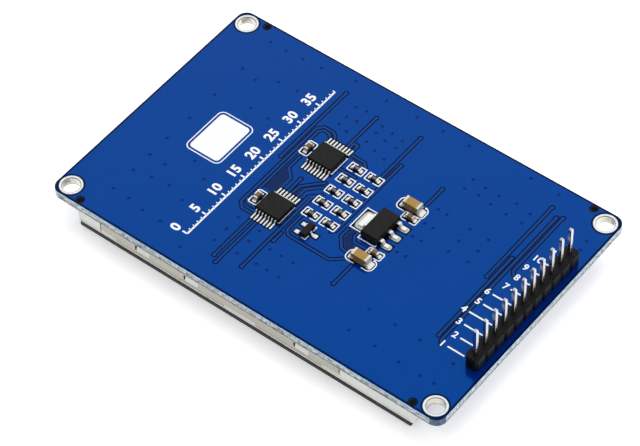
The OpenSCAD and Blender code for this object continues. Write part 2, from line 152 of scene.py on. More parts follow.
def surface(name, a, b, size=1.0, rough=(0.4, 0.5), metal=0.0, spec=0.5, bump=0.2,
            bump_size=0.3, bump_mm=0.01, aniso=None, fine=None, detail=4.0, coat=0.0,
            coat_rough=0.1, ior=None, sss=0.0):
    """A material that drifts between two colours, with its own roughness drift and relief."""
    m, nt, sh, co = new_mat(name)
    vec = co.outputs["Object"]
    n1 = noise_of(nt, vec, size, detail, aniso=aniso)
    col = mixed(nt, ranged(nt, n1, 0.0, 1.0), a, b)
    if fine:
        n3 = noise_of(nt, vec, fine[0], 2.0, aniso=aniso)
        col = mixed(nt, ranged(nt, n3, 0.0, fine[2], 0.45, 0.75), col, fine[1])
    nt.links.new(col, sh.inputs["Base Color"])
    n2 = noise_of(nt, vec, size * 0.45, 3.0, aniso=aniso)
    nt.links.new(ranged(nt, n2, rough[0], rough[1]), sh.inputs["Roughness"])
    nb = noise_of(nt, vec, bump_size, 3.0, aniso=aniso)
    bumped(nt, sh, nb, bump, bump_mm)
    sh.inputs["Metallic"].default_value = metal
    sh.inputs["Specular IOR Level"].default_value = spec
    if ior:
        sh.inputs["IOR"].default_value = ior
    if coat:
        sh.inputs["Coat Weight"].default_value = coat
        sh.inputs["Coat Roughness"].default_value = coat_rough
    if sss:
        sh.inputs["Subsurface Weight"].default_value = sss
        sh.inputs["Subsurface Radius"].default_value = (1.0, 0.9, 0.75)
        sh.inputs["Subsurface Scale"].default_value = 0.0006
    return m


def mask_mat(name, base, alt, ior=2.05, tint=(0.0, 0.333, 1.0, 1.0), rough=(0.10, 0.16), relief=0.05):
    """Solder mask: a thin glossy lacquer with slow blotches, weave showing through and dust."""
    m, nt, sh, co = new_mat(name)
    vec = co.outputs["Object"]
    slow = noise_of(nt, vec, 14.0, 2.0)
    col = mixed(nt, ranged(nt, slow, 0.0, 0.8), base, alt)
    fine = noise_of(nt, vec, 0.9, 3.0)
    col = mixed(nt, ranged(nt, fine, 0.0, 0.22), col, tuple(min(1.0, c * 1.35) for c in base[:3]) + (1.0,))
    nt.links.new(col, sh.inputs["Base Color"])
    r = noise_of(nt, vec, 3.0, 3.0)
    nt.links.new(ranged(nt, r, rough[0], rough[1]), sh.inputs["Roughness"])
    peel = noise_of(nt, vec, 0.55, 2.0)
    nrm = bumped(nt, None, peel, relief, 0.004)
    w1 = nt.nodes.new("ShaderNodeTexWave")
    w1.wave_type = "BANDS"
    w1.bands_direction = "X"
    w1.inputs["Scale"].default_value = 1000.0 / (0.55 * 6.2832)
    w1.inputs["Distortion"].default_value = 0.6
    nt.links.new(vec, w1.inputs["Vector"])
    nrm = bumped(nt, None, w1.outputs["Fac"], relief * 0.35, 0.002, nrm)
    w2 = nt.nodes.new("ShaderNodeTexWave")
    w2.wave_type = "BANDS"
    w2.bands_direction = "Y"
    w2.inputs["Scale"].default_value = 1000.0 / (0.6 * 6.2832)
    w2.inputs["Distortion"].default_value = 0.6
    nt.links.new(vec, w2.inputs["Vector"])
    bumped(nt, sh, w2.outputs["Fac"], relief * 0.35, 0.002, nrm)
    sh.inputs["Specular IOR Level"].default_value = 0.5
    sh.inputs["IOR"].default_value = ior
    sh.inputs["Specular Tint"].default_value = tint
    return m


MASK_POUR = mask_mat("mask_over_copper", (0.0001, 0.0160, 0.185, 1.0), (0.0001, 0.0176, 0.198, 1.0))
MASK_TRACE = mask_mat("mask_over_trace", (0.0082, 0.0192, 0.128, 1.0), (0.0102, 0.0210, 0.140, 1.0), relief=0.04)
MASK_BARE = mask_mat("mask_over_laminate", (0.0046, 0.0060, 0.056, 1.0), (0.0066, 0.0074, 0.066, 1.0), ior=1.6, relief=0.08)
MASK_GAP = mask_mat("mask_in_gap", (0.0002, 0.0025, 0.036, 1.0), (0.0004, 0.0034, 0.044, 1.0), ior=1.34, relief=0.06)
MASK_VIA = mask_mat("mask_over_via", (0.0001, 0.0130, 0.125, 1.0), (0.0001, 0.0145, 0.137, 1.0), ior=1.4, rough=(0.15, 0.25))
# Round the pads: bare laminate, painted darker still as painted shade under and between the parts.
MASK_PAD_BARE_AND_SHADE = mask_mat("mask_round_pads_bare_and_painted_shade", (0.0003, 0.0018, 0.010, 1.0), (0.0005, 0.0026, 0.014, 1.0), ior=1.3, rough=(0.2, 0.32),
                     relief=0.08)
MASK_NAVY = mask_mat("mask_round_rings", (0.0005, 0.0026, 0.028, 1.0), (0.0008, 0.0034, 0.036, 1.0), ior=1.4, rough=(0.15, 0.25),
                     relief=0.06)

# sawn and broken glass fibre along the scored edges
def fibre_mat(name, dark, light, tints, size=0.42):
    """Broken glass cloth: bright strand ends and dark resin side by side, with a few tinted spots."""
    m, nt, sh, co = new_mat(name)
    vec = co.outputs["Object"]
    grain = noise_of(nt, vec, size, 3.0, 0.65, aniso=(0.6, 0.6, 1.25))
    col = mixed(nt, ranged(nt, grain, 0.0, 1.0, 0.40, 0.60), dark, light)
    for i, (tint, how) in enumerate(tints):
        t = noise_of(nt, stretch(nt, vec, (0.7 + 0.1 * i, 0.75, 1.2 + 0.2 * i)), 0.9 + 0.35 * i, 2.0)
        col = mixed(nt, ranged(nt, t, 0.0, how, 0.52, 0.66), col, tint)
    speck = nt.nodes.new("ShaderNodeTexVoronoi")
    speck.inputs["Scale"].default_value = 1000.0 / 0.5
    nt.links.new(vec, speck.inputs["Vector"])
    col = mixed(nt, ranged(nt, speck.outputs["Distance"], 0.6, 0.0, 0.0, 0.30), col, lin(72, 82, 92))
    nt.links.new(col, sh.inputs["Base Color"])
    nt.links.new(ranged(nt, grain, 0.55, 0.85), sh.inputs["Roughness"])
    bumped(nt, sh, grain, 0.6, 0.03)
    sh.inputs["Specular IOR Level"].default_value = 0.35
    return m


FIBRE = fibre_mat("scored_fibre", lin(108, 128, 149), lin(224, 235, 246),
                  [(lin(170, 205, 214), 0.6), (lin(228, 206, 196), 0.55), (lin(206, 214, 190), 0.4)])
FIBRE_RIM = fibre_mat("scored_rim", lin(146, 174, 198), lin(206, 226, 240), [(lin(196, 226, 240), 0.7)], 0.6)
# The two lowest bands of the board's side: a darker fibre as painted shade along the bottom edge.
FIBRE_LOW_SHADE = fibre_mat("scored_low_rim_painted_shade", lin(84, 92, 96), lin(168, 174, 172), [(lin(150, 150, 138), 0.5)])

# A darker fibre used only on the routed wall at the near (+X, -Y) corner: painted shade.
ROUTED_SHADE = surface("routed_fibre_painted_shade", lin(58, 78, 104), lin(94, 118, 142), size=0.8, rough=(0.55, 0.8), bump=0.4,
                 bump_size=0.18, bump_mm=0.012, aniso=(1, 1, 0.35), fine=(0.3, lin(150, 166, 178), 0.4), spec=0.3)
DRILLED = surface("drilled_wall", lin(40, 44, 36), lin(62, 64, 52), size=0.3, rough=(0.5, 0.8), bump=0.4,
                  bump_size=0.1, bump_mm=0.01, spec=0.08)
LIP = surface("plated_lip", lin(252, 253, 252), lin(242, 243, 240), size=0.8, rough=(0.3, 0.45), metal=0.15, bump=0.35,
              bump_size=0.5, bump_mm=0.015, fine=(0.2, lin(206, 206, 200), 0.3))
BARREL = surface("plated_barrel", lin(240, 237, 225), lin(220, 217, 204), size=0.7, rough=(0.16, 0.3), metal=0.85, bump=0.4,
                 bump_size=0.3, bump_mm=0.012, aniso=(1, 1, 0.4), fine=(0.2, lin(160, 157, 144), 0.4))
HASL = surface("tinned_ring", lin(236, 241, 243), lin(226, 231, 233), size=1.4, rough=(0.22, 0.38), metal=0.55,
               bump=0.35, bump_size=0.9, bump_mm=0.02, fine=(0.22, lin(208, 212, 216), 0.3))
SOLDER = surface("bright_solder", lin(248, 248, 244), lin(236, 238, 236), size=0.5, rough=(0.2, 0.34), metal=0.95,
                 bump=0.3, bump_size=0.35, bump_mm=0.010, fine=(0.3, lin(204, 206, 208), 0.25))
PAD = surface("wetted_pad", lin(206, 209, 199), lin(188, 191, 183), size=0.5, rough=(0.3, 0.42), metal=0.5,
              bump=0.3, bump_size=0.25, bump_mm=0.01, fine=(0.2, lin(160, 162, 156), 0.35))
LEAD = surface("tinned_lead", lin(252, 252, 249), lin(240, 242, 242), size=0.4, rough=(0.24, 0.36), metal=0.7,
               bump=0.25, bump_size=0.12, bump_mm=0.006, aniso=(1, 0.4, 1), fine=(0.1, lin(232, 234, 234), 0.12))
TIN_END = surface("tin_terminal", lin(242, 236, 216), lin(222, 216, 196), size=0.45, rough=(0.26, 0.42), metal=0.85,
                  bump=0.35, bump_size=0.12, bump_mm=0.008, fine=(0.1, lin(168, 162, 148), 0.4))
WHITE_END = surface("resistor_terminal", lin(253, 252, 248), lin(244, 243, 238), size=0.4, rough=(0.26, 0.4), metal=0.6,
                    bump=0.35, bump_size=0.12, bump_mm=0.008, fine=(0.1, lin(190, 190, 184), 0.3))
PIN_METAL = surface("plated_pin", lin(222, 224, 222), lin(206, 207, 208), size=0.8, rough=(0.1, 0.2), metal=1.0,
                    bump=0.22, bump_size=0.2, bump_mm=0.006, aniso=(1, 1, 0.18), fine=(0.14, lin(176, 176, 180), 0.3))
EPOXY = surface("moulded_epoxy", lin(10, 10, 9), lin(15, 15, 13), size=1.2, rough=(0.5, 0.66), bump=0.5,
                bump_size=0.07, bump_mm=0.006, fine=(0.09, lin(34, 34, 30), 0.35), spec=0.27)
HEADER = surface("header_plastic", lin(8, 8, 7), lin(12, 12, 11), size=1.6, rough=(0.42, 0.6), bump=0.35,
                 bump_size=0.16, bump_mm=0.008, fine=(0.35, lin(32, 32, 29), 0.3), spec=0.185)
GLAZE = surface("resistor_glaze", lin(20, 20, 19), lin(30, 30, 28), size=0.5, rough=(0.28, 0.42), bump=0.25,
                bump_size=0.1, bump_mm=0.006, fine=(0.12, lin(52, 52, 46), 0.35))
CERAMIC = surface("capacitor_ceramic", lin(172, 138, 74), lin(152, 120, 62), size=0.7, rough=(0.45, 0.62), bump=0.4,
                  bump_size=0.1, bump_mm=0.006, fine=(0.14, lin(190, 158, 98), 0.45), spec=0.2)
CERAMIC2 = surface("capacitor_ceramic_small", lin(122, 102, 74), lin(102, 84, 60), size=0.5, rough=(0.45, 0.62),
                   bump=0.4, bump_size=0.1, bump_mm=0.006, fine=(0.12, lin(142, 118, 84), 0.4), spec=0.2)
LEGEND = surface("legend_ink", lin(252, 253, 255), lin(242, 245, 250), size=0.6, rough=(0.45, 0.6), bump=0.35,
                 bump_size=0.15, bump_mm=0.005, fine=(0.12, lin(224, 230, 240), 0.35), spec=0.35)
MARK = surface("marking_ink", lin(168, 164, 150), lin(142, 138, 126), size=0.2, rough=(0.5, 0.65), bump=0.2,
               bump_size=0.05, bump_mm=0.003, spec=0.3)
PLASTIC = surface("white_moulding", lin(247, 248, 242), lin(241, 242, 236), size=6.0, rough=(0.34, 0.46), bump=0.3,
                  bump_size=0.2, bump_mm=0.005, fine=(0.5, lin(232, 232, 226), 0.3), spec=0.45, sss=0.15)
STEEL = surface("tray_steel", lin(208, 204, 190), lin(196, 191, 178), size=5.0, rough=(0.36, 0.5), metal=0.45,
                bump=0.3, bump_size=0.12, bump_mm=0.004, aniso=(0.12, 0.6, 1.0), fine=(0.6, lin(180, 174, 163), 0.4))
FOAM = surface("gasket_foam", lin(5, 5, 5), lin(11, 11, 10), size=0.6, rough=(0.8, 0.95), bump=0.7,
               bump_size=0.12, bump_mm=0.02, spec=0.15)
# Near-black painted shade for the slots beside the latches and the windows' cut ends.
SLOT_SHADE = surface("latch_slot_painted_shade", lin(4, 4, 3), lin(10, 9, 8), size=0.5, rough=(0.7, 0.9), bump=0.4, bump_size=0.1,
               bump_mm=0.005, spec=0.1)
# A whiter copy of the moulding for the latch faces: painted highlight.
LATCH_HIGHLIGHT = surface("latch_face_painted_highlight", lin(255, 255, 252), lin(250, 250, 246), size=1.5, rough=(0.34, 0.46), bump=0.25,
                bump_size=0.15, bump_mm=0.004, spec=0.45)
# A whiter copy of the moulding for the bead along the frame's lower edge: painted highlight.
BEAD_HIGHLIGHT = surface("moulded_bead_painted_highlight", lin(255, 255, 250), lin(250, 250, 244), size=1.5, rough=(0.34, 0.46), bump=0.25,
               bump_size=0.15, bump_mm=0.004, spec=0.45)
# Grey painted shade in the grooves under the latches and the seam at the end of the steel walls.
SEAM_SHADE = surface("seam_painted_shade", lin(96, 95, 88), lin(118, 116, 108), size=0.5, rough=(0.6, 0.8), bump=0.4, bump_size=0.1,
               bump_mm=0.005, spec=0.2)
TAPE = surface("mounting_tape", lin(226, 224, 214), lin(214, 211, 200), size=1.0, rough=(0.6, 0.8), bump=0.5,
               bump_size=0.2, bump_mm=0.01)
GLASS_EDGE = surface("touch_glass_sheet", lin(14, 15, 12), lin(22, 23, 18), size=1.2, rough=(0.1, 0.22), bump=0.3,
                     bump_size=0.3, bump_mm=0.01, fine=(0.4, lin(44, 46, 38), 0.3), spec=0.24)
FILM_EDGE = surface("touch_film_edge", lin(7, 8, 7), lin(13, 14, 12), size=0.8, rough=(0.4, 0.6), bump=0.3,
                    bump_size=0.1, bump_mm=0.004, spec=0.15)
INNER_GLASS = surface("display_glass_sheet", lin(40, 44, 42), lin(54, 58, 55), size=3.0, rough=(0.08, 0.18),
                      bump=0.2, bump_size=0.6, bump_mm=0.004, spec=0.6)
POLAR = surface("polarizer_sheet", lin(16, 17, 19), lin(23, 24, 27), size=8.0, rough=(0.12, 0.22), bump=0.2,
                bump_size=0.5, bump_mm=0.003)
FILMS = surface("white_optical_film", lin(226, 228, 230), lin(214, 216, 220), size=5.0, rough=(0.3, 0.5), bump=0.25,
                bump_size=0.2, bump_mm=0.003)
ACRYL = surface("light_guide_acrylic", lin(212, 218, 220), lin(222, 227, 228), size=3.0, rough=(0.06, 0.16), bump=0.2,
                bump_size=0.8, bump_mm=0.004)
SHIELD = surface("shield_tape", lin(15, 15, 16), lin(22, 22, 23), size=1.5, rough=(0.45, 0.65), bump=0.4,
                 bump_size=0.2, bump_mm=0.005)
LEDMAT = surface("led_package", lin(232, 228, 206), lin(222, 214, 180), size=0.6, rough=(0.3, 0.5), bump=0.3,
                 bump_size=0.15, bump_mm=0.005)
SILICON = surface("driver_silicon", lin(52, 54, 62), lin(66, 68, 78), size=0.7, rough=(0.12, 0.25), metal=0.3,
                  bump=0.2, bump_size=0.1, bump_mm=0.003)
ADHESIVE = surface("spacer_adhesive", lin(60, 62, 60), lin(78, 80, 76), size=0.8, rough=(0.5, 0.7), bump=0.4,
                   bump_size=0.2, bump_mm=0.005)


def flex_mat(name):
    """Amber polyimide with the copper lines that run along it showing through."""
    m, nt, sh, co = new_mat(name)
    vec = co.outputs["Object"]
    n = noise_of(nt, vec, 2.5, 3.0)
    base = mixed(nt, ranged(nt, n, 0.0, 1.0), lin(168, 96, 34), lin(150, 80, 26))
    w = nt.nodes.new("ShaderNodeTexWave")
    w.wave_type = "BANDS"
    w.bands_direction = "Y"
    w.wave_profile = "SIN"
    w.inputs["Scale"].default_value = 1000.0 / (0.45 * 6.2832) * 2.0
    nt.links.new(vec, w.inputs["Vector"])
    line = ranged(nt, w.outputs["Fac"], 0.0, 1.0, 0.45, 0.6)
    col = mixed(nt, line, base, lin(196, 122, 56))
    dust = noise_of(nt, vec, 0.3, 3.0)
    col = mixed(nt, ranged(nt, dust, 0.0, 0.25, 0.5, 0.75), col, lin(206, 150, 92))
    nt.links.new(col, sh.inputs["Base Color"])
    nt.links.new(ranged(nt, n, 0.2, 0.36), sh.inputs["Roughness"])
    bumped(nt, sh, w.outputs["Fac"], 0.3, 0.01)
    sh.inputs["Specular IOR Level"].default_value = 0.5
    return m


FLEX = flex_mat("polyimide_flex")


def film_mat(name, lo, hi):
    """The switched-off display face: a clear touch film over the dark picture area, with its lighter border."""
    m, nt, sh, co = new_mat(name)
    vec = co.outputs["Object"]
    sep = nt.nodes.new("ShaderNodeSeparateXYZ")
    nt.links.new(vec, sep.inputs[0])

    def math(op, a, b=None):
        n = nt.nodes.new("ShaderNodeMath")
        n.operation = op
        for i, v in enumerate((a, b)):
            if v is None:
                continue
            if isinstance(v, float):
                n.inputs[i].default_value = v
            else:
                nt.links.new(v, n.inputs[i])
        return n.outputs[0]

    cx, cy = (lo[0] + hi[0]) / 2 * MM, (lo[1] + hi[1]) / 2 * MM
    hx, hy = (hi[0] - lo[0]) / 2 * MM, (hi[1] - lo[1]) / 2 * MM
    dx = math("SUBTRACT", hx, math("ABSOLUTE", math("SUBTRACT", sep.outputs["X"], cx)))
    dy = math("SUBTRACT", hy, math("ABSOLUTE", math("SUBTRACT", sep.outputs["Y"], cy)))
    edge = math("MINIMUM", dx, dy)
    n = noise_of(nt, vec, 9.0, 3.0)
    area = mixed(nt, ranged(nt, n, 0.0, 1.0), lin(17, 19, 22), lin(23, 25, 29))
    border = mixed(nt, ranged(nt, n, 0.0, 1.0), lin(52, 55, 58), lin(62, 65, 66))
    wide = math("MINIMUM", math("SUBTRACT", dx, 0.0034), math("SUBTRACT", dy, 0.0017))
    col = mixed(nt, ranged(nt, wide, 0.0, 1.0, 0.0, 0.00004), border, area)
    track = math("ABSOLUTE", math("SUBTRACT", edge, 0.0011))
    col = mixed(nt, ranged(nt, track, 1.0, 0.0, 0.00022, 0.00026), col, lin(122, 124, 124))
    rim = ranged(nt, edge, 1.0, 0.0, 0.0003, 0.0005)
    col = mixed(nt, rim, col, lin(74, 77, 76))
    nt.links.new(col, sh.inputs["Base Color"])
    dust = noise_of(nt, vec, 2.0, 4.0)
    nt.links.new(ranged(nt, dust, 0.1, 0.2), sh.inputs["Roughness"])
    bumped(nt, sh, noise_of(nt, vec, 0.7, 2.0), 0.12, 0.003)
    sh.inputs["Specular IOR Level"].default_value = 0.55
    return m


F0, F1 = node_box("touch_film")
FILM = film_mat("touch_film_face", F0, F1)


# ---------------------------------------------------------------- mesh helpers
class Builder:
    """Collects vertices in millimetres and faces with their material number."""

    def __init__(self):
        self.v, self.f, self.m, self.s = [], [], [], []

    def add(self, verts, faces, mat=0, smooth=False):
        k = len(self.v)
        self.v += [tuple(p) for p in verts]
        for f in faces:
            self.f.append([i + k for i in f])
            self.m.append(mat)
            self.s.append(smooth)

    def make(self, name, mats, replaces=(), weld=0.0, recalc=True):
        me = bpy.data.meshes.new(name)
        me.from_pydata([Vector(p) * MM for p in self.v], [], self.f)
        for m in mats:
            me.materials.append(m)
        me.polygons.foreach_set("material_index", self.m)
        me.polygons.foreach_set("use_smooth", self.s)
        if weld or recalc:
            bm = bmesh.new()
            bm.from_mesh(me)
            if weld:
                bmesh.ops.remove_doubles(bm, verts=bm.verts, dist=weld * MM)
            if recalc:
                bmesh.ops.recalc_face_normals(bm, faces=bm.faces)
            bm.to_mesh(me)
            bm.free()
        me.update()
        o = bpy.data.objects.new(name, me)
        bpy.context.scene.collection.objects.link(o)
        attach(o, "root")
        if replaces:
            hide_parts(*replaces)
        return o


def ring_pts(cx, cy, r, n, phase=0.0):
    return [(cx + r * math.cos(2 * math.pi * (i + phase) / n), cy + r * math.sin(2 * math.pi * (i + phase) / n)) for i in range(n)]


def detail(node, mats, bevel=0.04, segs=2, angle=28, name=None, slot=None, mat_of=None, smooth=35):
    """A finished copy of a CAD node: welded, its real edges rounded, with clean shading."""
    src = NODES[node]
    me = src.data.copy()
    me.name = name or node + "_finished"
    bm = bmesh.new()
    bm.from_mesh(me)
    bmesh.ops.remove_doubles(bm, verts=bm.verts, dist=4e-7)
    bmesh.ops.dissolve_limit(bm, angle_limit=math.radians(1.2), verts=bm.verts, edges=bm.edges, delimit=set())
    if bevel:
        edges = [e for e in bm.edges if len(e.link_faces) == 2 and e.calc_face_angle(0.0) > math.radians(angle)]
        bmesh.ops.bevel(bm, geom=edges, offset=bevel * MM, offset_type="OFFSET", segments=segs, profile=0.5,
                        affect="EDGES", clamp_overlap=True)
    bmesh.ops.recalc_face_normals(bm, faces=bm.faces)
    if mat_of:
        for f in bm.faces:
            c = f.calc_center_median() / MM
            f.material_index = mat_of(c, f.normal)
    else:
        for f in bm.faces:
            f.material_index = 0
    me.materials.clear()
    for m in mats:
        me.materials.append(m)
    bm.to_mesh(me)
    bm.free()
    for p in me.polygons:
        p.use_smooth = True
    me.set_sharp_from_angle(angle=math.radians(smooth))
    o = bpy.data.objects.new(name or node + "_finished", me)
    bpy.context.scene.collection.objects.link(o)
    mod = o.modifiers.new("weighted", "WEIGHTED_NORMAL")
    mod.keep_sharp = True
    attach(o, "root")
    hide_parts(node)
    return o


def paint(node, mat):
    o = NODES[node]
    if not o.data.materials:
        o.data.materials.append(mat)
    for i in range(len(o.material_slots)):
        o.material_slots[i].material = mat


# ---------------------------------------------------------------- board artwork, in millimetres
TH = 0.19      # half a track's width
GAP = 0.24     # clearance each side of a track
SLOPE = 0.05
DEPTH = 0.03

TRACKS = [
    [(-13.75, 20.4), (-13.75, 2.8)],
    [(-8.9, 11.1), (-9.4, 11.7), (-10.0, 12.15), (-12.0, 12.15), (-12.85, 11.2), (-12.85, -8.8), (-11.9, -9.8), (-9.9, -9.85)],
    [(-9.8, 10.9), (-10.4, 11.5), (-11.6, 11.5), (-12.2, 10.9), (-12.2, -8.1), (-11.6, -8.6), (-10.2, -8.6)],
    [(-11.15, 4.6), (-11.15, 1.6), (-9.4, -0.1), (-9.4, -2.8)],
    [(-8.0, 0.8), (-8.0, -2.8)],
    [(-7.35, -2.8), (-7.1, -0.5), (-5.2, 1.6), (-4.2, 2.5)],
    [(-6.05, -2.8), (-6.0, -0.6), (-4.2, 1.3), (-3.9, 1.5)],
    [(-4.6, -8.6), (-4.6, -1.4), (-3.0, 0.2)],
    [(-4.05, -19.5), (-4.05, -1.3), (-3.2, -0.5)],
    [(-3.3, -12.2), (-3.3, -10.2)],
    [(-9.15, -20.3), (-9.15, -10.3)],
    [(-8.0, -21.3), (-8.0, -10.3)],
    [(-6.25, 19.0), (-6.25, 10.4)],
    [(-5.75, 10.6), (-5.75, 12.2), (-4.9, 12.2), (-4.9, 10.6)],
    [(-4.5, 9.95), (-1.8, 9.95), (-0.9, 9.1), (-0.9, 8.3)],
    [(-4.2, 6.4), (-1.0, 6.4)],
    [(2.4, 19.8), (2.4, 8.4)],
    [(3.5, 13.0), (3.5, -4.6), (2.9, -5.2)],
    [(12.0, 13.0), (12.0, 7.6)],
    [(9.95, -13.4), (9.95, -8.0)],
    [(-3.0, -5.2), (-3.0, -9.1), (-2.1, -9.9), (6.3, -9.9), (8.0, -8.4), (8.7, -7.8)],
    [(4.8, -2.9), (4.8, -4.9), (6.5, -6.85), (8.4, -7.0)],
    [(6.6, -2.4), (6.6, -3.6), (7.3, -4.6), (10.4, -4.6)],
    [(28.65, 20.6), (28.65, 2.5)],
    [(29.6, 8.0), (29.6, -11.6)],
    [(30.45, 19.2), (30.45, -12.2), (31.0, -12.9)],
    [(31.35, 19.8), (31.35, 6.0), (32.0, 5.2)],
]
VIA_ENDS = [(-13.75, 20.4), (-13.75, 2.8), (-8.0, 0.8), (-4.05, -19.5), (-3.3, -12.2), (-9.15, -20.3), (-8.0, -21.3),
            (-6.25, 19.0), (2.4, 19.8), (3.5, 13.0), (12.0, 13.0), (9.95, -13.4), (28.65, 20.6), (28.65, 2.5),
            (29.6, 8.0), (29.6, -11.6), (30.45, 19.2), (31.35, 19.8)]
BARE_AREAS = [
    [(-11.9, 1.35), (-11.2, 1.35), (-9.65, -0.15), (-9.65, -4.3), (-11.9, -4.3)],
    [(-6.9, -2.4), (-6.75, -0.7), (-5.0, 1.15), (-4.6, 1.15), (-6.25, -0.6), (-6.25, -2.4)],
    [(5.3, -2.6), (6.2, -2.6), (6.2, -3.9), (7.2, -5.1), (8.2, -5.3), (7.8, -6.6), (6.9, -6.5), (5.4, -4.9)],
    [(-4.4, 9.6), (-1.9, 9.6), (-1.4, 9.1), (-3.7, 9.1)],
    [(2.7, 12.0), (3.2, 12.0), (3.2, 9.2), (2.7, 9.2)],
]
VIAS = []
for x, ys in {
    -31.4: (22, 14.3, 6.8, 0.2, -5.6, -10.1, -14.3, -19.4), -28: (21.9, 13.6, -10.3, -13.7, -19.5),
    -24.5: (22.2, 15.5, 8.1, -6.7, -13.3, -20.1), -20.7: (22.5, 15.8, 8, -8.9, -14.5, -20.1),
    -10.4: (18.9, 16.2, 14.1), -11: (-11.8, -14.9, -17.9), -8.4: (19.2, 16.4, 13.6),
    -6.4: (-17.8, -14.7, -12), -4.3: (13.8, 16.3, 18.1), -2: (13, 15.8, 17.8), 0.4: (12.4, 15.6, 17.5),
    14.1: (9.1, 5.4, 2, -2.1), 15.8: (9.1, 5.4, 2.1, -2), 14.8: (15.3, 17.7), 17.5: (15.5, 17.4),
    20.2: (15.1, 17.4), 23.5: (14.9, 17.8), 26.6: (14.9, 17.3), 20.7: (8.8, 5.8, 3), 24.4: (8.8, 5.9, 3.1),
    17.7: (-14.1, -19.4), 22.9: (-14.1, -19.4), 27.8: (-14.2, -19.7),
}.items():
    VIAS += [(x, y) for y in ys]
VIAS += [(-14.6, -22.4), (-14.1, 23.6), (-7.2, 23.1), (-0.9, 23.2), (4.5, 23.3), (9.9, 23.3), (22.2, 23.6), (27.9, 23.5),
         (-2.5, -17.7), (-0.3, -17.7), (2.1, -17.7), (-2.6, -14), (-0.3, -14), (2.1, -14), (32, -19.8), (34.7, -19.7),
         (34.8, -14.8), (37.2, 18.1), (37.5, 16.0)]


# where the components stand, from the CAD nodes
def parts_of(node, gap=0.02):
    """The separate solids of a node, as boxes in millimetres (lowest and highest corner)."""
    me = NODES[node].data
    bm = bmesh.new()
    bm.from_mesh(me)
    bmesh.ops.remove_doubles(bm, verts=bm.verts, dist=4e-7)
    seen, out = set(), []
    bm.verts.ensure_lookup_table()
    for v in bm.verts:
        if v.index in seen:
            continue
        stack, pts = [v], []
        seen.add(v.index)
        while stack:
            w = stack.pop()
            pts.append(w.co / MM)
            for e in w.link_edges:
                q = e.other_vert(w)
                if q.index not in seen:
                    seen.add(q.index)
                    stack.append(q)
        out.append(([min(p[i] for p in pts) for i in range(3)], [max(p[i] for p in pts) for i in range(3)]))
    bm.free()
    return out


RES = parts_of("chip_resistor_bodies")
BULK = parts_of("bulk_capacitor_bodies")
BYPASS = parts_of("bypass_capacitor_bodies")
U1_LEADS = parts_of("touch_controller_leads")
U2_LEADS = parts_of("level_shifter_leads")
REG_LEADS = parts_of("voltage_regulator_leads")
TR_LEADS = parts_of("backlight_transistor_leads")
U1B, U2B = node_box("touch_controller_body"), node_box("level_shifter_body")
REGB, TRB = node_box("voltage_regulator_body"), node_box("backlight_transistor_body")


def centre(b):
    return [(b[0][i] + b[1][i]) / 2 for i in range(3)]


BARE_BOXES = []  # x0, y0, x1, y1 where the copper is cut back round pads
for b in RES:
    c = centre(b)
    BARE_BOXES.append((c[0] - 1.37, c[1] - 0.71, c[0] + 1.37, c[1] + 0.71))
for b in BYPASS:
    c = centre(b)
    if b[1][0] - b[0][0] > b[1][1] - b[0][1]:
        BARE_BOXES.append((c[0] - 1.33, c[1] - 0.7, c[0] + 1.33, c[1] + 0.7))
    else:
        BARE_BOXES.append((c[0] - 0.72, c[1] - 1.42, c[0] + 0.72, c[1] + 1.42))
for b in BULK:
    c = centre(b)
    for s in (-1, 1):
        BARE_BOXES.append((c[0] + s * 1.72 - 0.86, c[1] - 1.12, c[0] + s * 1.72 + 0.86, c[1] + 1.12))
U1_PADS, U2_PADS = [], []
for body, leads, pads, ends in ((U1B, U1_LEADS, U1_PADS, (10.95, 2.7)), (U2B, U2_LEADS, U2_PADS, (-2.6, -10.75))):
    cy = (body[0][1] + body[1][1]) / 2
    for b in leads:
        c = centre(b)
        up = c[1] > cy
        foot = b[1][1] - 0.55 if up else b[0][1] + 0.55
        end = ends[0] if up else ends[1]
        pads.append((c[0], foot, end, up))
    for up in (True, False):
        ps = [p for p in pads if p[3] == up]
        x0, x1 = min(p[0] for p in ps) - 0.36, max(p[0] for p in ps) + 0.36
        ya, yb = sorted((ps[0][1] - (0.75 if up else -0.75), ps[0][2] + (0.2 if up else -0.2)))
        BARE_BOXES.append((x0, ya, x1, yb))
REG_TAB = (4.98, -2.0, 7.4, 2.1)
REG_PADS = [(11.0, y - 0.62, 13.0, y + 0.62) for y in sorted(centre(b)[1] for b in REG_LEADS if centre(b)[0] > 10)]
TR_PADS = [(-2.0, y - 0.42, -1.0, y + 0.42) for y in sorted(centre(b)[1] for b in TR_LEADS if centre(b)[0] < TRB[0][0] + 0.3)]
TR_PADS += [(0.9, y - 0.42, 2.0, y + 0.42) for y in [centre(b)[1] for b in TR_LEADS if centre(b)[0] > TRB[1][0] - 0.3]]
for x0, y0, x1, y1 in [REG_TAB] + REG_PADS + TR_PADS:
    BARE_BOXES.append((x0 - 0.24, y0 - 0.24, x1 + 0.24, y1 + 0.24))
BARE_BOXES.append((10.6, REG_PADS[0][1] - 0.24, 11.2, REG_PADS[-1][3] + 0.24))


# ---------------------------------------------------------------- distances that shape the copper relief
SEG = []
for t in TRACKS:
    for a, b in zip(t, t[1:]):
        SEG.append((*a, *b, TH))
for p in VIA_ENDS:
    SEG.append((*p, *p, 0.30))
SEG = np.array(SEG)
CIRC = [(x, y, 2.38) for x, y in MOUNT] + [(x, y, 0.84) for x, y in LOCATE]


def seg_dist(P, s):
    a, b = s[:2], s[2:4]
    d = b - a
    L = d @ d
    t = np.clip(((P - a) @ d) / L, 0, 1) if L > 0 else np.zeros(len(P))
    return np.hypot(*(P - (a + t[:, None] * d)).T)


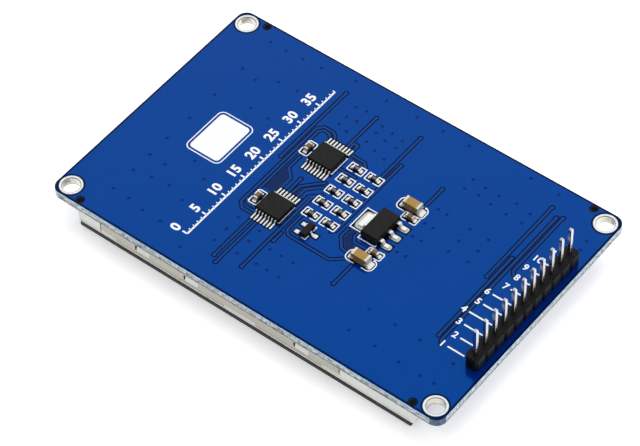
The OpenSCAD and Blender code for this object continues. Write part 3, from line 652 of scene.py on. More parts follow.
def poly_inside(P, poly):
    """Signed distance to a polygon's edge, positive inside."""
    q = np.array(poly, float)
    n = len(q)
    inside = np.zeros(len(P), bool)
    dist = np.full(len(P), 1e9)
    for i in range(n):
        a, b = q[i], q[(i + 1) % n]
        dist = np.minimum(dist, seg_dist(P, np.array([*a, *b])))
        cond = (a[1] > P[:, 1]) != (b[1] > P[:, 1])
        with np.errstate(divide="ignore", invalid="ignore"):
            xi = a[0] + (P[:, 1] - a[1]) / (b[1] - a[1]) * (b[0] - a[0])
        inside ^= cond & (P[:, 0] < xi)
    return np.where(inside, dist, -dist)


def box_inside(P, b):
    dx = np.minimum(P[:, 0] - b[0], b[2] - P[:, 0])
    dy = np.minimum(P[:, 1] - b[1], b[3] - P[:, 1])
    return np.minimum(dx, dy)


def edge_inside(P, inset):
    """Distance in from the board's outline."""
    hx, hy = (X1 - X0) / 2 - inset - CORNER_R, (Y1 - Y0) / 2 - inset - CORNER_R
    q = np.abs(P - np.array([(X0 + X1) / 2, (Y0 + Y1) / 2])) - np.array([hx, hy])
    outside = np.hypot(np.maximum(q[:, 0], 0), np.maximum(q[:, 1], 0)) + np.minimum(np.maximum(q[:, 0], q[:, 1]), 0)
    return CORNER_R - outside


SCORE = 0.02    # how far the scored edge leans in at the faces
BORDER = 0.40   # bare strip along the outline


def relief(P, seg, circ, boxes, polys, vias):
    """Height below the copper's top face, and the region: 0 pour, 1 track, 2 gap, 3 bare, 4 via, 8 round pads (bare,
    painted darker as shade).
    """
    track = np.full(len(P), 1e9)
    bare = np.full(len(P), -1e9)
    wide = np.full(len(P), -1e9)
    pads = np.full(len(P), -1e9)
    for s in seg:
        d = seg_dist(P, s) - s[4]
        track = np.minimum(track, d)
        bare = np.maximum(bare, GAP - d)
    rings = np.full(len(P), -1e9)
    for x, y, r in circ:
        d = r - np.hypot(P[:, 0] - x, P[:, 1] - y)
        bare = np.maximum(bare, d)
        if r > 2:
            rings = np.maximum(rings, d)
    for b in boxes:
        pads = np.maximum(pads, box_inside(P, b))
    for p in polys:
        wide = np.maximum(wide, poly_inside(P, p))
    rim = BORDER - edge_inside(P, 0.0)
    bare_all = np.maximum(np.maximum(np.maximum(bare, wide), pads), rim)
    inside_gap = ((track > 0) | (pads > 0)) & (bare_all > 0)
    depth = np.where(inside_gap, DEPTH * np.clip(np.where(pads > 0, pads, np.minimum(track, bare_all)) / SLOPE, 0, 1), 0.0)
    region = np.where(track <= 0, 1, np.where(bare_all <= 0, 0, np.where(wide > 0.04, 3, 2)))
    region = np.where(pads > 0.04, 8, region)
    region = np.where(rings > 0.0, 11, region)
    for x, y in vias:
        d = np.hypot(P[:, 0] - x, P[:, 1] - y)
        near = d < 0.34
        if near.any():
            depth = np.where(near, np.maximum(depth, 0.030 * np.clip((0.30 - d) / 0.2, 0, 1)), depth)
            region = np.where((d < 0.26) & (region < 3), 4, region)
    return depth, region


# ---------------------------------------------------------------- outline, holes and loops
def outline(inset_straight, inset_corner, step=0.4):
    """The board's outline, anticlockwise, with a flag that is 1 on the scored straights and 0 on the routed corners."""
    pts, flag = [], []
    cx, cy = (X0 + X1) / 2, (Y0 + Y1) / 2
    hx, hy = (X1 - X0) / 2, (Y1 - Y0) / 2
    R = CORNER_R
    corners = [(hx - R, -hy + R, -90), (hx - R, hy - R, 0), (-hx + R, hy - R, 90), (-hx + R, -hy + R, 180)]
    n_arc = 12
    for k, (px, py, a0) in enumerate(corners):
        for i in range(n_arc + 1):
            a = math.radians(a0 + 90 * i / n_arc)
            w = 1.0 - math.sin(math.pi * i / n_arc) ** 0.5 if 0 < i < n_arc else 1.0
            r = R - (inset_straight * w + inset_corner * (1 - w))
            pts.append((cx + px + r * math.cos(a), cy + py + r * math.sin(a)))
            flag.append(0 if 0 < i < n_arc else 1)
        nx = corners[(k + 1) % 4]
        a1 = math.radians(a0 + 90)
        r = R - inset_straight
        ax, ay = px + r * math.cos(a1), py + r * math.sin(a1)
        a2 = math.radians(nx[2])
        bx, by = nx[0] + r * math.cos(a2), nx[1] + r * math.sin(a2)
        L = math.hypot(bx - ax, by - ay)
        n = max(2, int(L / step))
        for i in range(1, n):
            pts.append((cx + ax + (bx - ax) * i / n, cy + ay + (by - ay) * i / n))
            flag.append(1)
    return pts, flag


def rrect_loop(inset, n=10):
    cx, cy = (X0 + X1) / 2, (Y0 + Y1) / 2
    hx, hy, R = (X1 - X0) / 2, (Y1 - Y0) / 2, CORNER_R
    out = []
    for sx, sy, a0 in ((1, -1, -90), (1, 1, 0), (-1, 1, 90), (-1, -1, 180)):
        for i in range(n + 1):
            a = math.radians(a0 + 90 * i / n)
            out.append((cx + sx * (hx - R) + (R - inset) * math.cos(a), cy + sy * (hy - R) + (R - inset) * math.sin(a)))
    return out


def capsule(s, r, n=7):
    ax, ay, bx, by = s[:4]
    if abs(ax - bx) + abs(ay - by) < 1e-9:
        return ring_pts(ax, ay, r, 2 * n)
    t = math.atan2(by - ay, bx - ax)
    out = []
    for i in range(n + 1):
        a = t - math.pi / 2 + math.pi * i / n
        out.append((bx + r * math.cos(a), by + r * math.sin(a)))
    for i in range(n + 1):
        a = t + math.pi / 2 + math.pi * i / n
        out.append((ax + r * math.cos(a), ay + r * math.sin(a)))
    return out


def board_face(z, sign, out_loop, holes, loops, seg, circ, boxes, polys, vias):
    """One face of the board as a constrained triangulation. Returns vertices, faces and regions."""
    pts, edges = [], []

    def loop(l):
        k = len(pts)
        pts.extend(Vector((x, y)) for x, y in l)
        edges.extend((k + i, k + (i + 1) % len(l)) for i in range(len(l)))

    loop(out_loop)
    for h in holes:
        loop(ring_pts(*h))
    for l in loops:
        loop(l)
    v, e, f, *_ = delaunay_2d_cdt(pts, edges, [], 0, 1e-5, False)
    P = np.array([(p.x, p.y) for p in v])
    F = np.array([t for t in f if len(t) == 3])
    C = P[F].mean(axis=1)
    keep = poly_inside(C, out_loop) > 0
    for h in holes:
        keep &= poly_inside(C, ring_pts(*h)) < 0
    F, C = F[keep], C[keep]
    depth, _ = relief(P, seg, circ, boxes, polys, vias)
    _, region = relief(C, seg, circ, boxes, polys, vias)
    on_edge = edge_inside(P, 0.0) < 0.14
    depth = np.where(on_edge, DEPTH, depth)
    V = [(x, y, z - sign * d) for (x, y), d in zip(P, depth)]
    return V, F.tolist() if sign > 0 else [t[::-1] for t in F.tolist()], region.tolist()


HOLE_SPECS = [(x, y, MOUNT_R, 40) for x, y in MOUNT] + [(x, y, LOCATE_R, 24) for x, y in LOCATE] + \
             [(HEAD_X, y, 0.5, 16) for y in PIN_Y]
top_loop, flags = outline(SCORE, 0.03)
loops = [rrect_loop(BORDER), rrect_loop(BORDER - SLOPE)]
for s in SEG:
    for r in (s[4], s[4] + SLOPE, s[4] + GAP - SLOPE, s[4] + GAP):
        loops.append(capsule(s, r))
for x, y, r in CIRC:
    n = 40 if r > 2 else 24
    loops += [ring_pts(x, y, r, n), ring_pts(x, y, r - SLOPE, n)]
for b in BARE_BOXES:
    for i in (0.0, SLOPE):
        loops.append([(b[0] + i, b[1] + i), (b[2] - i, b[1] + i), (b[2] - i, b[3] - i), (b[0] + i, b[3] - i)])
for p in BARE_AREAS:
    loops.append(p)
for x, y in VIAS:
    loops += [ring_pts(x, y, 0.32, 12), ring_pts(x, y, 0.13, 8)]

REGION_MATS = [MASK_POUR, MASK_TRACE, MASK_GAP, MASK_BARE, MASK_VIA, FIBRE, ROUTED_SHADE, DRILLED, MASK_PAD_BARE_AND_SHADE, FIBRE_RIM, FIBRE_LOW_SHADE, MASK_NAVY]
board = Builder()
V, F, REG = board_face(ZT, 1, top_loop, HOLE_SPECS, loops, SEG, CIRC, BARE_BOXES, BARE_AREAS, VIAS)
k = len(board.v)
board.v += V
for f, r in zip(F, REG):
    board.f.append(f)
    board.m.append(int(r))
    board.s.append(False)

# underside: the header's tracks run in under the display
LOW_TRACKS = []
for i, y in enumerate(PIN_Y):
    if i in (0, 10):
        continue
    LOW_TRACKS.append([(HEAD_X, y), (35.4, y), (34.7, y * 0.93), (32.0, y * 0.93)])
for s in (-1, 1):
    LOW_TRACKS.append([(-39.0, s * 16.0), (-39.0, s * 4.0), (-38.2, s * 3.2), (-33.0, s * 3.2)])
LOW_SEG = np.array([(*a, *b, TH) for t in LOW_TRACKS for a, b in zip(t, t[1:])])
LOW_CIRC = CIRC + [(HEAD_X, y, 1.05) for y in PIN_Y]
low_loops = [rrect_loop(BORDER), rrect_loop(BORDER - SLOPE)]
for s in LOW_SEG:
    for r in (TH, TH + SLOPE, TH + GAP - SLOPE, TH + GAP):
        low_loops.append(capsule(s, r, 5))
for x, y, r in LOW_CIRC:
    n = 40 if r > 2 else 24
    low_loops += [ring_pts(x, y, r, n), ring_pts(x, y, r - SLOPE, n)]
LOW_VIAS = [v for v in VIAS if abs(v[0]) > 31 or abs(v[1]) > 23]
for x, y in LOW_VIAS:
    low_loops += [ring_pts(x, y, 0.32, 12), ring_pts(x, y, 0.13, 8)]
V, F, REG = board_face(ZB, -1, top_loop, HOLE_SPECS, low_loops, LOW_SEG, LOW_CIRC, [], [], LOW_VIAS)
k = len(board.v)
board.v += V
for f, r in zip(F, REG):
    board.f.append([i + k for i in f])
    board.m.append(int(r))
    board.s.append(False)

# the sides: scored from both faces and snapped along the straights, routed at the corners
rows = [(ZT - DEPTH, 1.0, 0.0), (ZT - 0.16, 0.72, 0.15), (ZT - 0.34, 0.3, 0.25), (ZT - 0.50, 0.0, 0.8), (ZT - 0.68, 0.0, 1.0),
        (ZT - 0.86, 0.0, 1.0), (ZT - 1.06, 0.0, 0.8), (ZT - 1.20, 0.3, 0.25), (ZB + 0.24, 0.72, 0.15), (ZB + DEPTH, 1.0, 0.0)]
full, _ = outline(0.0, 0.0)
side_v = []
N = len(top_loop)
for j, (z, lean, rough) in enumerate(rows):
    for i in range(N):
        tx, ty = top_loop[i]
        fx, fy = full[i]
        px, py = fx + (tx - fx) * lean, fy + (ty - fy) * lean
        if rough and flags[i]:
            n1 = noise.noise(Vector((px * 1.3, py * 1.3, z * 3.0))) * 0.5 + noise.noise(Vector((px * 3.1, py * 3.1, z * 6.0 + 9))) * 0.5
            amount = rough * (0.055 + 0.09 * n1)
            L = math.hypot(px, py)
            nx, ny = (1.0 if abs(px) > abs(fx) - 1e-6 and abs(abs(fx) - 40) < 1e-3 else 0.0), 0.0
            if abs(abs(fx) - (X1 - X0) / 2) < 1e-3:
                px -= math.copysign(max(0.0, amount), px)
            elif abs(abs(fy) - (Y1 - Y0) / 2) < 1e-3:
                py -= math.copysign(max(0.0, amount), py)
        side_v.append((px, py, z))
side_f, side_m = [], []
for j in range(len(rows) - 1):
    for i in range(N):
        a, b = j * N + i, j * N + (i + 1) % N
        side_f.append((a, a + N, b + N, b))
        scored = flags[i] and flags[(i + 1) % N]
        # The routed wall at the near (+X, -Y) corner alone takes the darker routed fibre as painted shade.
        shaded = top_loop[i][0] > 0 and top_loop[i][1] < 0
        # The two lowest bands (j > 6) take the darker low-rim fibre: painted shade.
        side_m.append(6 if shaded and not scored else 9 if j < 2 else 10 if j > 6 else 5)
k = len(board.v)
board.v += side_v
for f, m in zip(side_f, side_m):
    board.f.append([i + k for i in f])
    board.m.append(m)
    board.s.append(m == 6)

# hole walls
for cx, cy, r, n in HOLE_SPECS:
    pts = np.array(ring_pts(cx, cy, r, n))
    dt, _ = relief(pts, SEG, CIRC, BARE_BOXES, BARE_AREAS, VIAS)
    db, _ = relief(pts, LOW_SEG, LOW_CIRC, [], [], LOW_VIAS)
    k = len(board.v)
    board.v += [(x, y, ZT - d) for (x, y), d in zip(pts, dt)]
    board.v += [(x, y, ZB + d) for (x, y), d in zip(pts, db)]
    for i in range(n):
        j = (i + 1) % n
        board.f.append([k + i, k + j, k + n + j, k + n + i])
        board.m.append(7)
        board.s.append(True)
board_obj = board.make("printed_board", REGION_MATS, ["circuit_board"], weld=0.002)

# ---------------------------------------------------------------- plated mounting rings
rings = Builder()
for q, (cx, cy) in enumerate(MOUNT):
    prof = [(2.04, ZT - 0.035), (2.04, ZT + 0.0), (2.02, ZT + 0.022), (1.97, ZT + 0.036), (1.86, ZT + 0.042), (1.76, ZT + 0.034),
            (1.68, ZT + 0.004), (1.585, ZT - 0.11), (1.57, ZT - 0.25), (1.57, ZT - 0.8), (1.57, ZB + 0.25), (1.585, ZB + 0.11),
            (1.68, ZB - 0.004), (1.76, ZB - 0.034), (1.86, ZB - 0.042), (1.97, ZB - 0.036), (2.02, ZB - 0.022),
            (2.04, ZB + 0.0), (2.04, ZB + 0.035), (1.61, ZB + 0.14), (1.61, ZT - 0.14)]
    part = [0, 0, 0, 0, 0, 1, 1, 2, 2, 2, 2, 1, 1, 0, 0, 0, 0, 0, 0, 0, 0]
    n = 56
    verts = []
    for i in range(n):
        a = 2 * math.pi * i / n
        for r, z in prof:
            w = 0.012 * noise.noise(Vector((math.cos(a) * 1.6 + q * 7, math.sin(a) * 1.6, r * 2)))
            dz = w if z > ZT else (-w if z < ZB else 0.0)
            verts.append((cx + r * math.cos(a), cy + r * math.sin(a), z + dz))
    m = len(prof)
    groups = [[], [], []]
    for i in range(n):
        for j in range(m):
            a, b = i * m + j, i * m + (j + 1) % m
            c, d = ((i + 1) % n) * m + (j + 1) % m, ((i + 1) % n) * m + j
            groups[part[j]].append((a, b, c, d))
    k = len(rings.v)
    rings.v += verts
    for g, fs in enumerate(groups):
        for f in fs:
            rings.f.append([i + k for i in f])
            rings.m.append(g)
            rings.s.append(True)
rings.make("mounting_rings", [HASL, LIP, BARREL])

# ---------------------------------------------------------------- pads and solder
solder = Builder()


def blob(x0, y0, x1, y1, f, n=9, m=9, square=5.0, base=-0.03, mat=0):
    """A domed pad: f(u, v) is its height at u, v in 0..1, pulled down to the board all round."""
    verts, faces = [], []
    cx, cy, hx, hy = (x0 + x1) / 2, (y0 + y1) / 2, (x1 - x0) / 2, (y1 - y0) / 2
    for j in range(m + 1):
        for i in range(n + 1):
            u, v = i / n, j / m
            a, b = 2 * u - 1, 2 * v - 1
            a = math.copysign(abs(a) ** 0.75, a)
            b = math.copysign(abs(b) ** 0.75, b)
            k = (abs(a) ** square + abs(b) ** square) ** (1 / square)
            mx = max(abs(a), abs(b))
            s = mx / k if k > 0 else 1.0
            x, y = cx + a * s * hx, cy + b * s * hy
            edge = max(0.0, 1 - mx ** 4)
            verts.append((x, y, ZT + 0.012 + f(0.5 + a / 2, 0.5 + b / 2) * edge ** 0.6))
    for j in range(m):
        for i in range(n):
            a = j * (n + 1) + i
            faces.append((a, a + 1, a + n + 2, a + n + 1))
    rim = [i for i in range(n + 1)] + [j * (n + 1) + n for j in range(1, m + 1)] + \
          [m * (n + 1) + i for i in range(n - 1, -1, -1)] + [j * (n + 1) for j in range(m - 1, 0, -1)]
    k = len(verts)
    for r in rim:
        x, y, _ = verts[r]
        verts.append((x, y, ZT + base))
    L = len(rim)
    for i in range(L):
        faces.append((rim[i], k + i, k + (i + 1) % L, rim[(i + 1) % L]))
    faces.append(tuple(k + i for i in range(L - 1, -1, -1)))
    solder.add(verts, faces, mat, True)


def climb(direction, high, low=0.03, reach=1.0, power=2.2):
    """Solder that climbs towards a terminal: direction is the side it is high at."""
    def f(u, v):
        t = {"+x": u, "-x": 1 - u, "+y": v, "-y": 1 - v}[direction]
        return low + (high - low) * max(0.0, (t - (1 - reach)) / reach) ** power
    return f


for b in RES:
    c = centre(b)
    blob(c[0] - 1.17, c[1] - 0.42, c[0] - 0.5, c[1] + 0.42, climb("+x", 0.42))
    blob(c[0] + 0.5, c[1] - 0.42, c[0] + 1.17, c[1] + 0.42, climb("-x", 0.42))
for b in BYPASS:
    c = centre(b)
    if b[1][0] - b[0][0] > b[1][1] - b[0][1]:
        blob(c[0] - 1.22, c[1] - 0.42, c[0] - 0.5, c[1] + 0.42, climb("+x", 0.62))
        blob(c[0] + 0.5, c[1] - 0.42, c[0] + 1.22, c[1] + 0.42, climb("-x", 0.62))
    else:
        blob(c[0] - 0.42, c[1] - 1.22, c[0] + 0.42, c[1] - 0.5, climb("+y", 0.62))
        blob(c[0] - 0.42, c[1] + 0.5, c[0] + 0.42, c[1] + 1.22, climb("-y", 0.62))
for b in BULK:
    c = centre(b)
    blob(c[0] - 2.35, c[1] - 0.84, c[0] - 1.2, c[1] + 0.84, climb("+x", 1.05, 0.05))
    blob(c[0] + 1.2, c[1] - 0.84, c[0] + 2.35, c[1] + 0.84, climb("-x", 1.05, 0.05))
for x, foot, end, up in U1_PADS + U2_PADS:
    a, b = (foot - 0.12, end) if up else (end, foot + 0.12)
    blob(x - 0.175, a, x + 0.175, b, climb("-y" if up else "+y", 0.13, 0.05, 0.8, 1.2), n=6, m=10)
blob(*REG_TAB, climb("+x", 0.05, 0.04), n=12, m=12, square=4.5, mat=1)
for i, (x0, y0, x1, y1) in enumerate(REG_PADS):
    blob(x0, y0, x1, y1, lambda u, v: 0.02 + 0.05 * math.exp(-((u - 0.55) ** 2 / 0.09 + (v - 0.5) ** 2 / 0.10)), n=12, m=10,
         square=3.0 if i == 0 else 5.0, mat=1)
for x0, y0, x1, y1 in TR_PADS:
    blob(x0, y0, x1, y1, lambda u, v: 0.07 + 0.06 * math.sin(math.pi * u), n=8, m=8, square=7)
solder.make("solder_pads", [SOLDER, PAD])

# ---------------------------------------------------------------- printed legend
legend = Builder()
SILK = 0.2


def ribbon(pts, w=SILK, closed=False, z0=-0.04, z1=0.016):
    """A printed stroke: a flat line with mitred corners and softened edges."""
    n = len(pts)
    P = [Vector(p) for p in pts]
    nrm = []
    for i in range(n):
        a = P[i - 1] if (i > 0 or closed) else None
        b = P[(i + 1) % n] if (i < n - 1 or closed) else None
        d1 = (P[i] - a).normalized() if a is not None else None
        d2 = (b - P[i]).normalized() if b is not None else None
        if d1 is None:
            d1 = d2
        if d2 is None:
            d2 = d1
        n1, n2 = Vector((-d1.y, d1.x)), Vector((-d2.y, d2.x))
        s = (n1 + n2)
        s = s.normalized() if s.length > 1e-6 else n1
        k = 1.0 / max(0.35, s.dot(n1))
        nrm.append(s * k)
    verts, faces = [], []
    for i in range(n):
        q = nrm[i] * (w / 2)
        r = nrm[i] * (w / 2 - 0.02)
        p = P[i]
        if not closed and i in (0, n - 1):
            pass
        verts += [(*(p - q), ZT + z0), (*(p - q), ZT + z1 - 0.008), (*(p - r), ZT + z1), (*(p + r), ZT + z1),
                  (*(p + q), ZT + z1 - 0.008), (*(p + q), ZT + z0)]
    m = 6
    for i in range(n if closed else n - 1):
        a, b = i * m, ((i + 1) % n) * m
        for j in range(m):
            faces.append((a + j, b + j, b + (j + 1) % m, a + (j + 1) % m))
    if not closed:
        faces.append(tuple(range(m)))
        faces.append(tuple((n - 1) * m + j for j in range(m - 1, -1, -1)))
    legend.add(verts, faces, 0, False)


def arc(cx, cy, r, a0, a1, n=6):
    return [(cx + r * math.cos(math.radians(a0 + (a1 - a0) * i / n)), cy + r * math.sin(math.radians(a0 + (a1 - a0) * i / n))) for i in range(n + 1)]


def rounded(x0, y0, x1, y1, r):
    return arc(x1 - r, y0 + r, r, -90, 0) + arc(x1 - r, y1 - r, r, 0, 90) + arc(x0 + r, y1 - r, r, 90, 180) + arc(x0 + r, y0 + r, r, 180, 270)


def filled(poly, z1=0.016, z0=-0.04):
    """A solid printed patch."""
    n = len(poly)
    c = Vector((sum(p[0] for p in poly) / n, sum(p[1] for p in poly) / n))
    verts, faces = [], []
    for p in poly:
        d = (Vector(p) - c)
        i = Vector(p) - d.normalized() * 0.02
        verts += [(*p, ZT + z0), (*p, ZT + z1 - 0.008), (*i, ZT + z1)]
    for i in range(n):
        a, b = i * 3, ((i + 1) % n) * 3
        faces += [(a, b, b + 1, a + 1), (a + 1, b + 1, b + 2, a + 2)]
    faces.append(tuple(i * 3 + 2 for i in range(n)))
    faces.append(tuple(i * 3 for i in range(n - 1, -1, -1)))
    legend.add(verts, faces, 0, False)


def text_mesh(body, size, x, y, z, angle=0.0, align="CENTER", bold=0.0, thick=0.02, into=None, valign="CENTER", mat=0):
    """Plain figures in the built-in typeface, turned into mesh."""
    cu = bpy.data.curves.new("figures", "FONT")
    cu.body = body
    cu.size = size
    cu.align_x = align
    cu.align_y = valign
    cu.offset = bold
    cu.extrude = thick / 2
    cu.resolution_u = 3
    cu.space_character = 1.05
    o = bpy.data.objects.new("figures", cu)
    bpy.context.scene.collection.objects.link(o)
    bpy.context.view_layer.update()
    dg = bpy.context.evaluated_depsgraph_get()
    me = bpy.data.meshes.new_from_object(o.evaluated_get(dg))
    R = Matrix.Rotation(angle, 4, "Z")
    T = Matrix.Translation((x, y, z - thick / 2))
    me.transform(T @ R)
    (into or legend).add([v.co[:] for v in me.vertices], [list(p.vertices) for p in me.polygons], mat, False)
    bpy.data.objects.remove(o)
    bpy.data.curves.remove(cu)
    bpy.data.meshes.remove(me)


# boxes round the resistors and the small capacitors, open in the middle of their long sides
def box_open_x(cx, cy, hx, hy, gap=0.3, r=0.12):
    ribbon([(cx - gap, cy + hy)] + [(cx - hx + r, cy + hy)] + arc(cx - hx + r, cy + hy - r, r, 90, 180, 3) + arc(cx - hx + r, cy - hy + r, r, 180, 270, 3) + [(cx - gap, cy - hy)])
    ribbon([(cx + gap, cy + hy)] + [(cx + hx - r, cy + hy)] + arc(cx + hx - r, cy + hy - r, r, 90, 0, 3) + arc(cx + hx - r, cy - hy + r, r, 0, -90, 3) + [(cx + gap, cy - hy)])


for b in RES:
    c = centre(b)
    box_open_x(c[0], c[1], 1.5, 0.84)
ribbon([(-4.95, 8.85), (-4.55, 8.85), (-4.55, 4.7), (-4.95, 4.7)])
ribbon([(-4.95, -4.6), (-4.95, -8.8), (-5.35, -8.8)])
for y0, y1 in ((5.25, 8.45), (-8.1, -4.95)):
    cx, cy = (-12.05 - 10.3) / 2, (y0 + y1) / 2
    r = 0.35
    ribbon([(-12.05, cy + 0.3)] + [(-12.05, y1 - r)] + arc(-12.05 + r, y1 - r, r, 180, 90, 4) + arc(-10.3 - r, y1 - r, r, 90, 0, 4) + [(-10.3, cy + 0.3)])
    ribbon([(-12.05, cy - 0.3)] + [(-12.05, y0 + r)] + arc(-12.05 + r, y0 + r, r, 180, 270, 4) + arc(-10.3 - r, y0 + r, r, 270, 360, 4) + [(-10.3, cy - 0.3)])
ribbon([(0.25, -5.85), (0.6, -5.85), (0.6, -6.75)])
ribbon([(0.6, -8.0), (0.6, -8.95), (-0.2, -8.95)])
ribbon([(7.0, 2.5), (4.65, 2.5), (4.65, -2.3), (7.0, -2.3)])
ribbon([(7.15, -2.3), (7.15, -3.42), (10.6, -3.42), (10.6, -3.0)])
for y0, y1, cyb in ((5.5, 8.1, None), (-8.15, -5.75, None)):
    r = 0.9
    cy = (y0 + y1) / 2
    ribbon([(9.0, y1), (7.8 + r, y1)] + arc(7.8 + r, y1 - r, r, 90, 180, 6) + arc(7.8 + r, y0 + r, r, 180, 270, 6) + [(9.9, y0)])
    ribbon([(12.2, y1), (13.2 - r, y1)] + arc(13.2 - r, y1 - r, r, 90, 0, 6) + arc(13.2 - r, y0 + r, r, 0, -90, 6) + [(11.4, y0)])
for y0, y1 in ((4.02, 5.68), (-5.42, -3.78)):
    r = 0.3
    ribbon([(11.2, y1), (10.05 + r, y1)] + arc(10.05 + r, y1 - r, r, 90, 180, 4) + arc(10.05 + r, y0 + r, r, 180, 270, 4) + [(11.2, y0)])
    ribbon([(11.85, y1), (13.0 - r, y1)] + arc(13.0 - r, y1 - r, r, 90, 0, 4) + arc(13.0 - r, y0 + r, r, 0, -90, 4) + [(11.85, y0)])

# plain pin numbers with a short lead line each
NUMBER_AT = (30.6, 31.2, 30.1, 29.2, 30.1, 30.1, 31.8, 32.2, 32.1, 32.2, 34.0)
for i, (y, x) in enumerate(zip(PIN_Y, NUMBER_AT)):
    text_mesh(str(i + 1), 1.75, x, y + 0.12, ZT + 0.016, align="LEFT", bold=0.045, thick=0.05)
    x_end = x + (1.15 if i < 9 else 2.05)
    if x_end < 34.5:
        ribbon([(x_end + 0.3, y + 0.12), (35.3, y + 0.12)], 0.3)

# a measuring scale, in millimetres
SX = -15.45
ribbon([(SX, -19.5), (SX, 19.5)], 0.34)
for i in range(0, 40):
    y = -19.5 + i
    L = 1.0 if i % 5 == 0 else (0.5)
    ribbon([(SX, y), (SX - L, y)], 0.3 if i % 5 == 0 else 0.2)
for i in range(0, 8):
    text_mesh(str(i * 5), 2.5, SX - 1.15, -19.5 + i * 5, ZT + 0.016, angle=math.pi / 2, align="CENTER", bold=0.09,
              thick=0.05, valign="BOTTOM")
# a blank patch to write on
filled(rounded(-27.6, -4.6, -21.4, 4.3, 0.7))
ribbon(rounded(-28.1, -5.1, -20.9, 4.8, 1.1), 0.2, closed=True)
legend.make("printed_legend", [LEGEND])

# value marks on the resistors
marks = Builder()
for b in RES:
    c = centre(b)
    text_mesh("103", 0.52, c[0], c[1], b[1][2] + 0.012, bold=0.012, thick=0.02, into=marks)
marks.make("resistor_marks", [MARK])

# ---------------------------------------------------------------- components on the board
detail("touch_controller_body", [EPOXY], 0.05, 2, slot="chip_epoxy")
detail("level_shifter_body", [EPOXY], 0.05, 2, slot="chip_epoxy")
detail("voltage_regulator_body", [EPOXY], 0.07, 3, slot="chip_epoxy")
detail("backlight_transistor_body", [EPOXY], 0.05, 2, slot="chip_epoxy")
detail("touch_controller_leads", [LEAD], 0.02, 2, slot="lead_plating")
detail("level_shifter_leads", [LEAD], 0.02, 2, slot="lead_plating")
detail("voltage_regulator_leads", [LEAD], 0.035, 2, slot="lead_plating")
detail("backlight_transistor_leads", [LEAD], 0.02, 2, slot="lead_plating")
detail("bulk_capacitor_bodies", [CERAMIC], 0.03, 2, slot="capacitor_ceramic")
detail("bypass_capacitor_bodies", [CERAMIC2], 0.03, 2, slot="capacitor_ceramic")
detail("bulk_capacitor_terminals", [TIN_END], 0.06, 3, slot="terminal_tin")
detail("bypass_capacitor_terminals", [TIN_END], 0.04, 2, slot="terminal_tin")
detail("chip_resistor_bodies", [GLAZE], 0.02, 2, slot="resistor_glaze")
detail("chip_resistor_terminals", [WHITE_END], 0.03, 2, slot="terminal_tin")
detail("pin_header_body", [HEADER], 0.06, 2, slot="header_plastic")
detail("pin_header_pins", [PIN_METAL], 0.04, 2, slot="pin_plating", smooth=30)
detail("header_solder_joints", [SOLDER], 0.0, slot="solder", smooth=50)

# ---------------------------------------------------------------- display panel
FR0, FR1 = node_box("panel_frame")
SKIN = node_box("backlight_tray")[1][1] - 0.2
WINDOWS = [-22.2, -11.87, 10.85]


def frame_face(c, n):
    """Painted shade in the slots beside the latches, the grooves under them and the seams at the ends of the steel
    walls; painted highlight on the latch faces and the bead.
    """
    if abs(c.y) < SKIN - 0.02 and abs(c.y) > SKIN - 1.13 and 2.53 < c.z < 3.7:
        if any(w - 0.02 < c.x < w + 0.34 for w in WINDOWS) or 19.88 < c.x < 20.23:
            return 1
    # Painted shade: the groove under each latch and the seam by the steel wall's end.
    if abs(c.y) < SKIN - 0.005 and abs(c.y) > SKIN - 0.23 and 2.44 < c.z < 2.66 and any(w < c.x < w + 3.1 for w in WINDOWS):
        return 2
    if abs(c.y) < SKIN + 0.21 and abs(c.y) > SKIN - 0.02 and -29.78 < c.x < -29.6 and abs(n.z) < 0.5 and 1.2 < c.z < 4.15:
        return 2
    # Painted highlight: the latch faces take the whiter copy of the plastic.
    if abs(c.y) > SKIN - 0.06 and 2.5 < c.z < 3.75 and any(w + 0.3 < c.x < w + 3.1 for w in WINDOWS):
        return 3
    # Painted highlight: the bead along the lower edge takes the whiter copy of the plastic.
    if abs(c.y) > SKIN + 0.2 and 1.4 < c.z < 1.66:
        return 4
    return 0


detail("panel_frame", [PLASTIC, SLOT_SHADE, SEAM_SHADE, LATCH_HIGHLIGHT, BEAD_HIGHLIGHT], 0.05, 2, slot="frame_plastic", mat_of=frame_face)


def tray_face(c, n):
    """The cut ends of the windows that face the slots, painted near-black as painted shade."""
    if abs(c.y) > SKIN - 0.02 and n.x > 0.7 and 2.4 < c.z < 3.7 and any(abs(c.x - w) < 0.06 for w in WINDOWS):
        return 1
    return 0


detail("backlight_tray", [STEEL, SLOT_SHADE], 0.03, 2, slot="tray_steel", mat_of=tray_face)
detail("touch_glass", [GLASS_EDGE], 0.05, 2, slot="touch_glass")
detail("touch_film", [FILM, FILM_EDGE], 0.02, 1, slot="touch_film", mat_of=lambda c, n: 1 if abs(n.z) < 0.5 else 0)
detail("touch_gasket", [FOAM], 0.04, 2, slot="gasket_foam")
detail("display_flex", [FLEX], 0.0, slot="polyimide_flex", smooth=50)
detail("touch_flex", [FLEX], 0.0, slot="polyimide_flex", smooth=50)
for n, m in (("touch_spacer_frame", ADHESIVE), ("colour_filter_glass", INNER_GLASS), ("tft_glass", INNER_GLASS),
             ("front_polarizer", POLAR), ("rear_polarizer", POLAR), ("diffuser_sheet", FILMS),
             ("lower_prism_sheet", FILMS), ("upper_prism_sheet", FILMS), ("reflector_sheet", FILMS),
             ("light_guide", ACRYL), ("light_shield_tape", SHIELD), ("panel_tape", TAPE), ("backlight_flex", FLEX),
             ("backlight_leds", LEDMAT), ("display_driver_chip", SILICON)):
    paint(n, m)

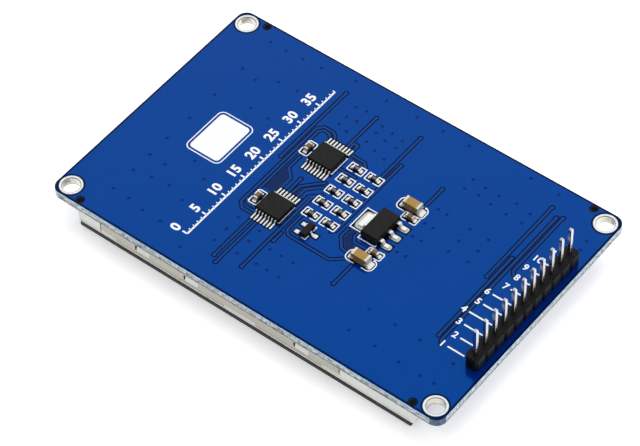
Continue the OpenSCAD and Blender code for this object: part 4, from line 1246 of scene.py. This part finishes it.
# ---------------------------------------------------------------- floor, light and camera
me = bpy.data.meshes.new("floor")
R = 6.0
me.from_pydata([(R * math.cos(2 * math.pi * i / 64), R * math.sin(2 * math.pi * i / 64), -0.00004) for i in range(64)], [], [list(range(64))])
floor = bpy.data.objects.new("floor", me)
bpy.context.scene.collection.objects.link(floor)
FLOOR, nt, sh, co = new_mat("pale_floor")
n = noise_of(nt, co.outputs["Object"], 60.0, 3.0)
nt.links.new(mixed(nt, ranged(nt, n, 0.0, 1.0), (0.80, 0.80, 0.80, 1.0), (0.83, 0.83, 0.83, 1.0)), sh.inputs["Base Color"])
nt.links.new(ranged(nt, n, 0.75, 0.9), sh.inputs["Roughness"])
sh.inputs["Specular IOR Level"].default_value = 0.1
sh.inputs["Emission Color"].default_value = (1.0, 1.0, 1.0, 1.0)
sh.inputs["Emission Strength"].default_value = 0.45
me.materials.append(FLOOR)

sc = bpy.context.scene
sc.view_settings.view_transform = "Standard"
sc.view_settings.look = "None"

world = bpy.data.worlds.new("studio")
sc.world = world
world.use_nodes = True
wn = world.node_tree
for q in list(wn.nodes):
    wn.nodes.remove(q)
wo = wn.nodes.new("ShaderNodeOutputWorld")
bg = wn.nodes.new("ShaderNodeBackground")
wn.links.new(bg.outputs[0], wo.inputs[0])
tc = wn.nodes.new("ShaderNodeTexCoord")
toward = wn.nodes.new("ShaderNodeVectorMath")
toward.operation = "DOT_PRODUCT"
toward.inputs[1].default_value = Vector((-0.10, 0.60, 0.79)).normalized()
wn.links.new(tc.outputs["Generated"], toward.inputs[0])
ramp = wn.nodes.new("ShaderNodeValToRGB")
ramp.color_ramp.interpolation = "EASE"
wn.links.new(toward.outputs["Value"], ramp.inputs[0])
el = ramp.color_ramp.elements
el[0].position, el[0].color = 0.0, (0.27, 0.275, 0.285, 1.0)
el[1].position, el[1].color = 0.85, (1.0, 1.0, 1.0, 1.0)
wn.links.new(ramp.outputs[0], bg.inputs[0])
bg.inputs[1].default_value = 0.95

to_light = Vector((-0.25, 0.45, 0.86)).normalized()
sun = bpy.data.lights.new("key", "SUN")
sun.energy = 1.2
sun.angle = math.radians(50.0)
so = bpy.data.objects.new("key", sun)
so.rotation_mode = "QUATERNION"
so.rotation_quaternion = to_light.to_track_quat("Z", "Y")
sc.collection.objects.link(so)
so.visible_glossy = False

side = bpy.data.lights.new("side", "AREA")
side.shape = "RECTANGLE"
side.size, side.size_y = 0.30, 0.22
side.energy = 0.35
po = bpy.data.objects.new("side", side)
spot = Vector((0.46, 0.14, 0.30))
po.location = spot
po.rotation_mode = "QUATERNION"
po.rotation_quaternion = (spot - Vector((0.0, 0.0, 0.0))).to_track_quat("Z", "Y")
sc.collection.objects.link(po)
po.visible_glossy = False

cam = bpy.data.cameras.new("camera")
cam.lens = 165.63
cam.sensor_width = 36.0
cam.sensor_fit = "HORIZONTAL"
cam.clip_start, cam.clip_end = 0.01, 50.0
camera = bpy.data.objects.new("camera", cam)
right = Vector((0.78576255, 0.61800560, -0.02542233))
down = Vector((0.46042160, -0.61185917, -0.64314875))
ahead = Vector((-0.41302442, 0.49365721, -0.76531914))
place = Vector((0.198290, -0.241277, 0.372892))
mw = Matrix.Identity(4)
for i in range(3):
    mw[i][0], mw[i][1], mw[i][2], mw[i][3] = right[i], -down[i], -ahead[i], place[i]
camera.matrix_world = mw
sc.collection.objects.link(camera)
sc.camera = camera
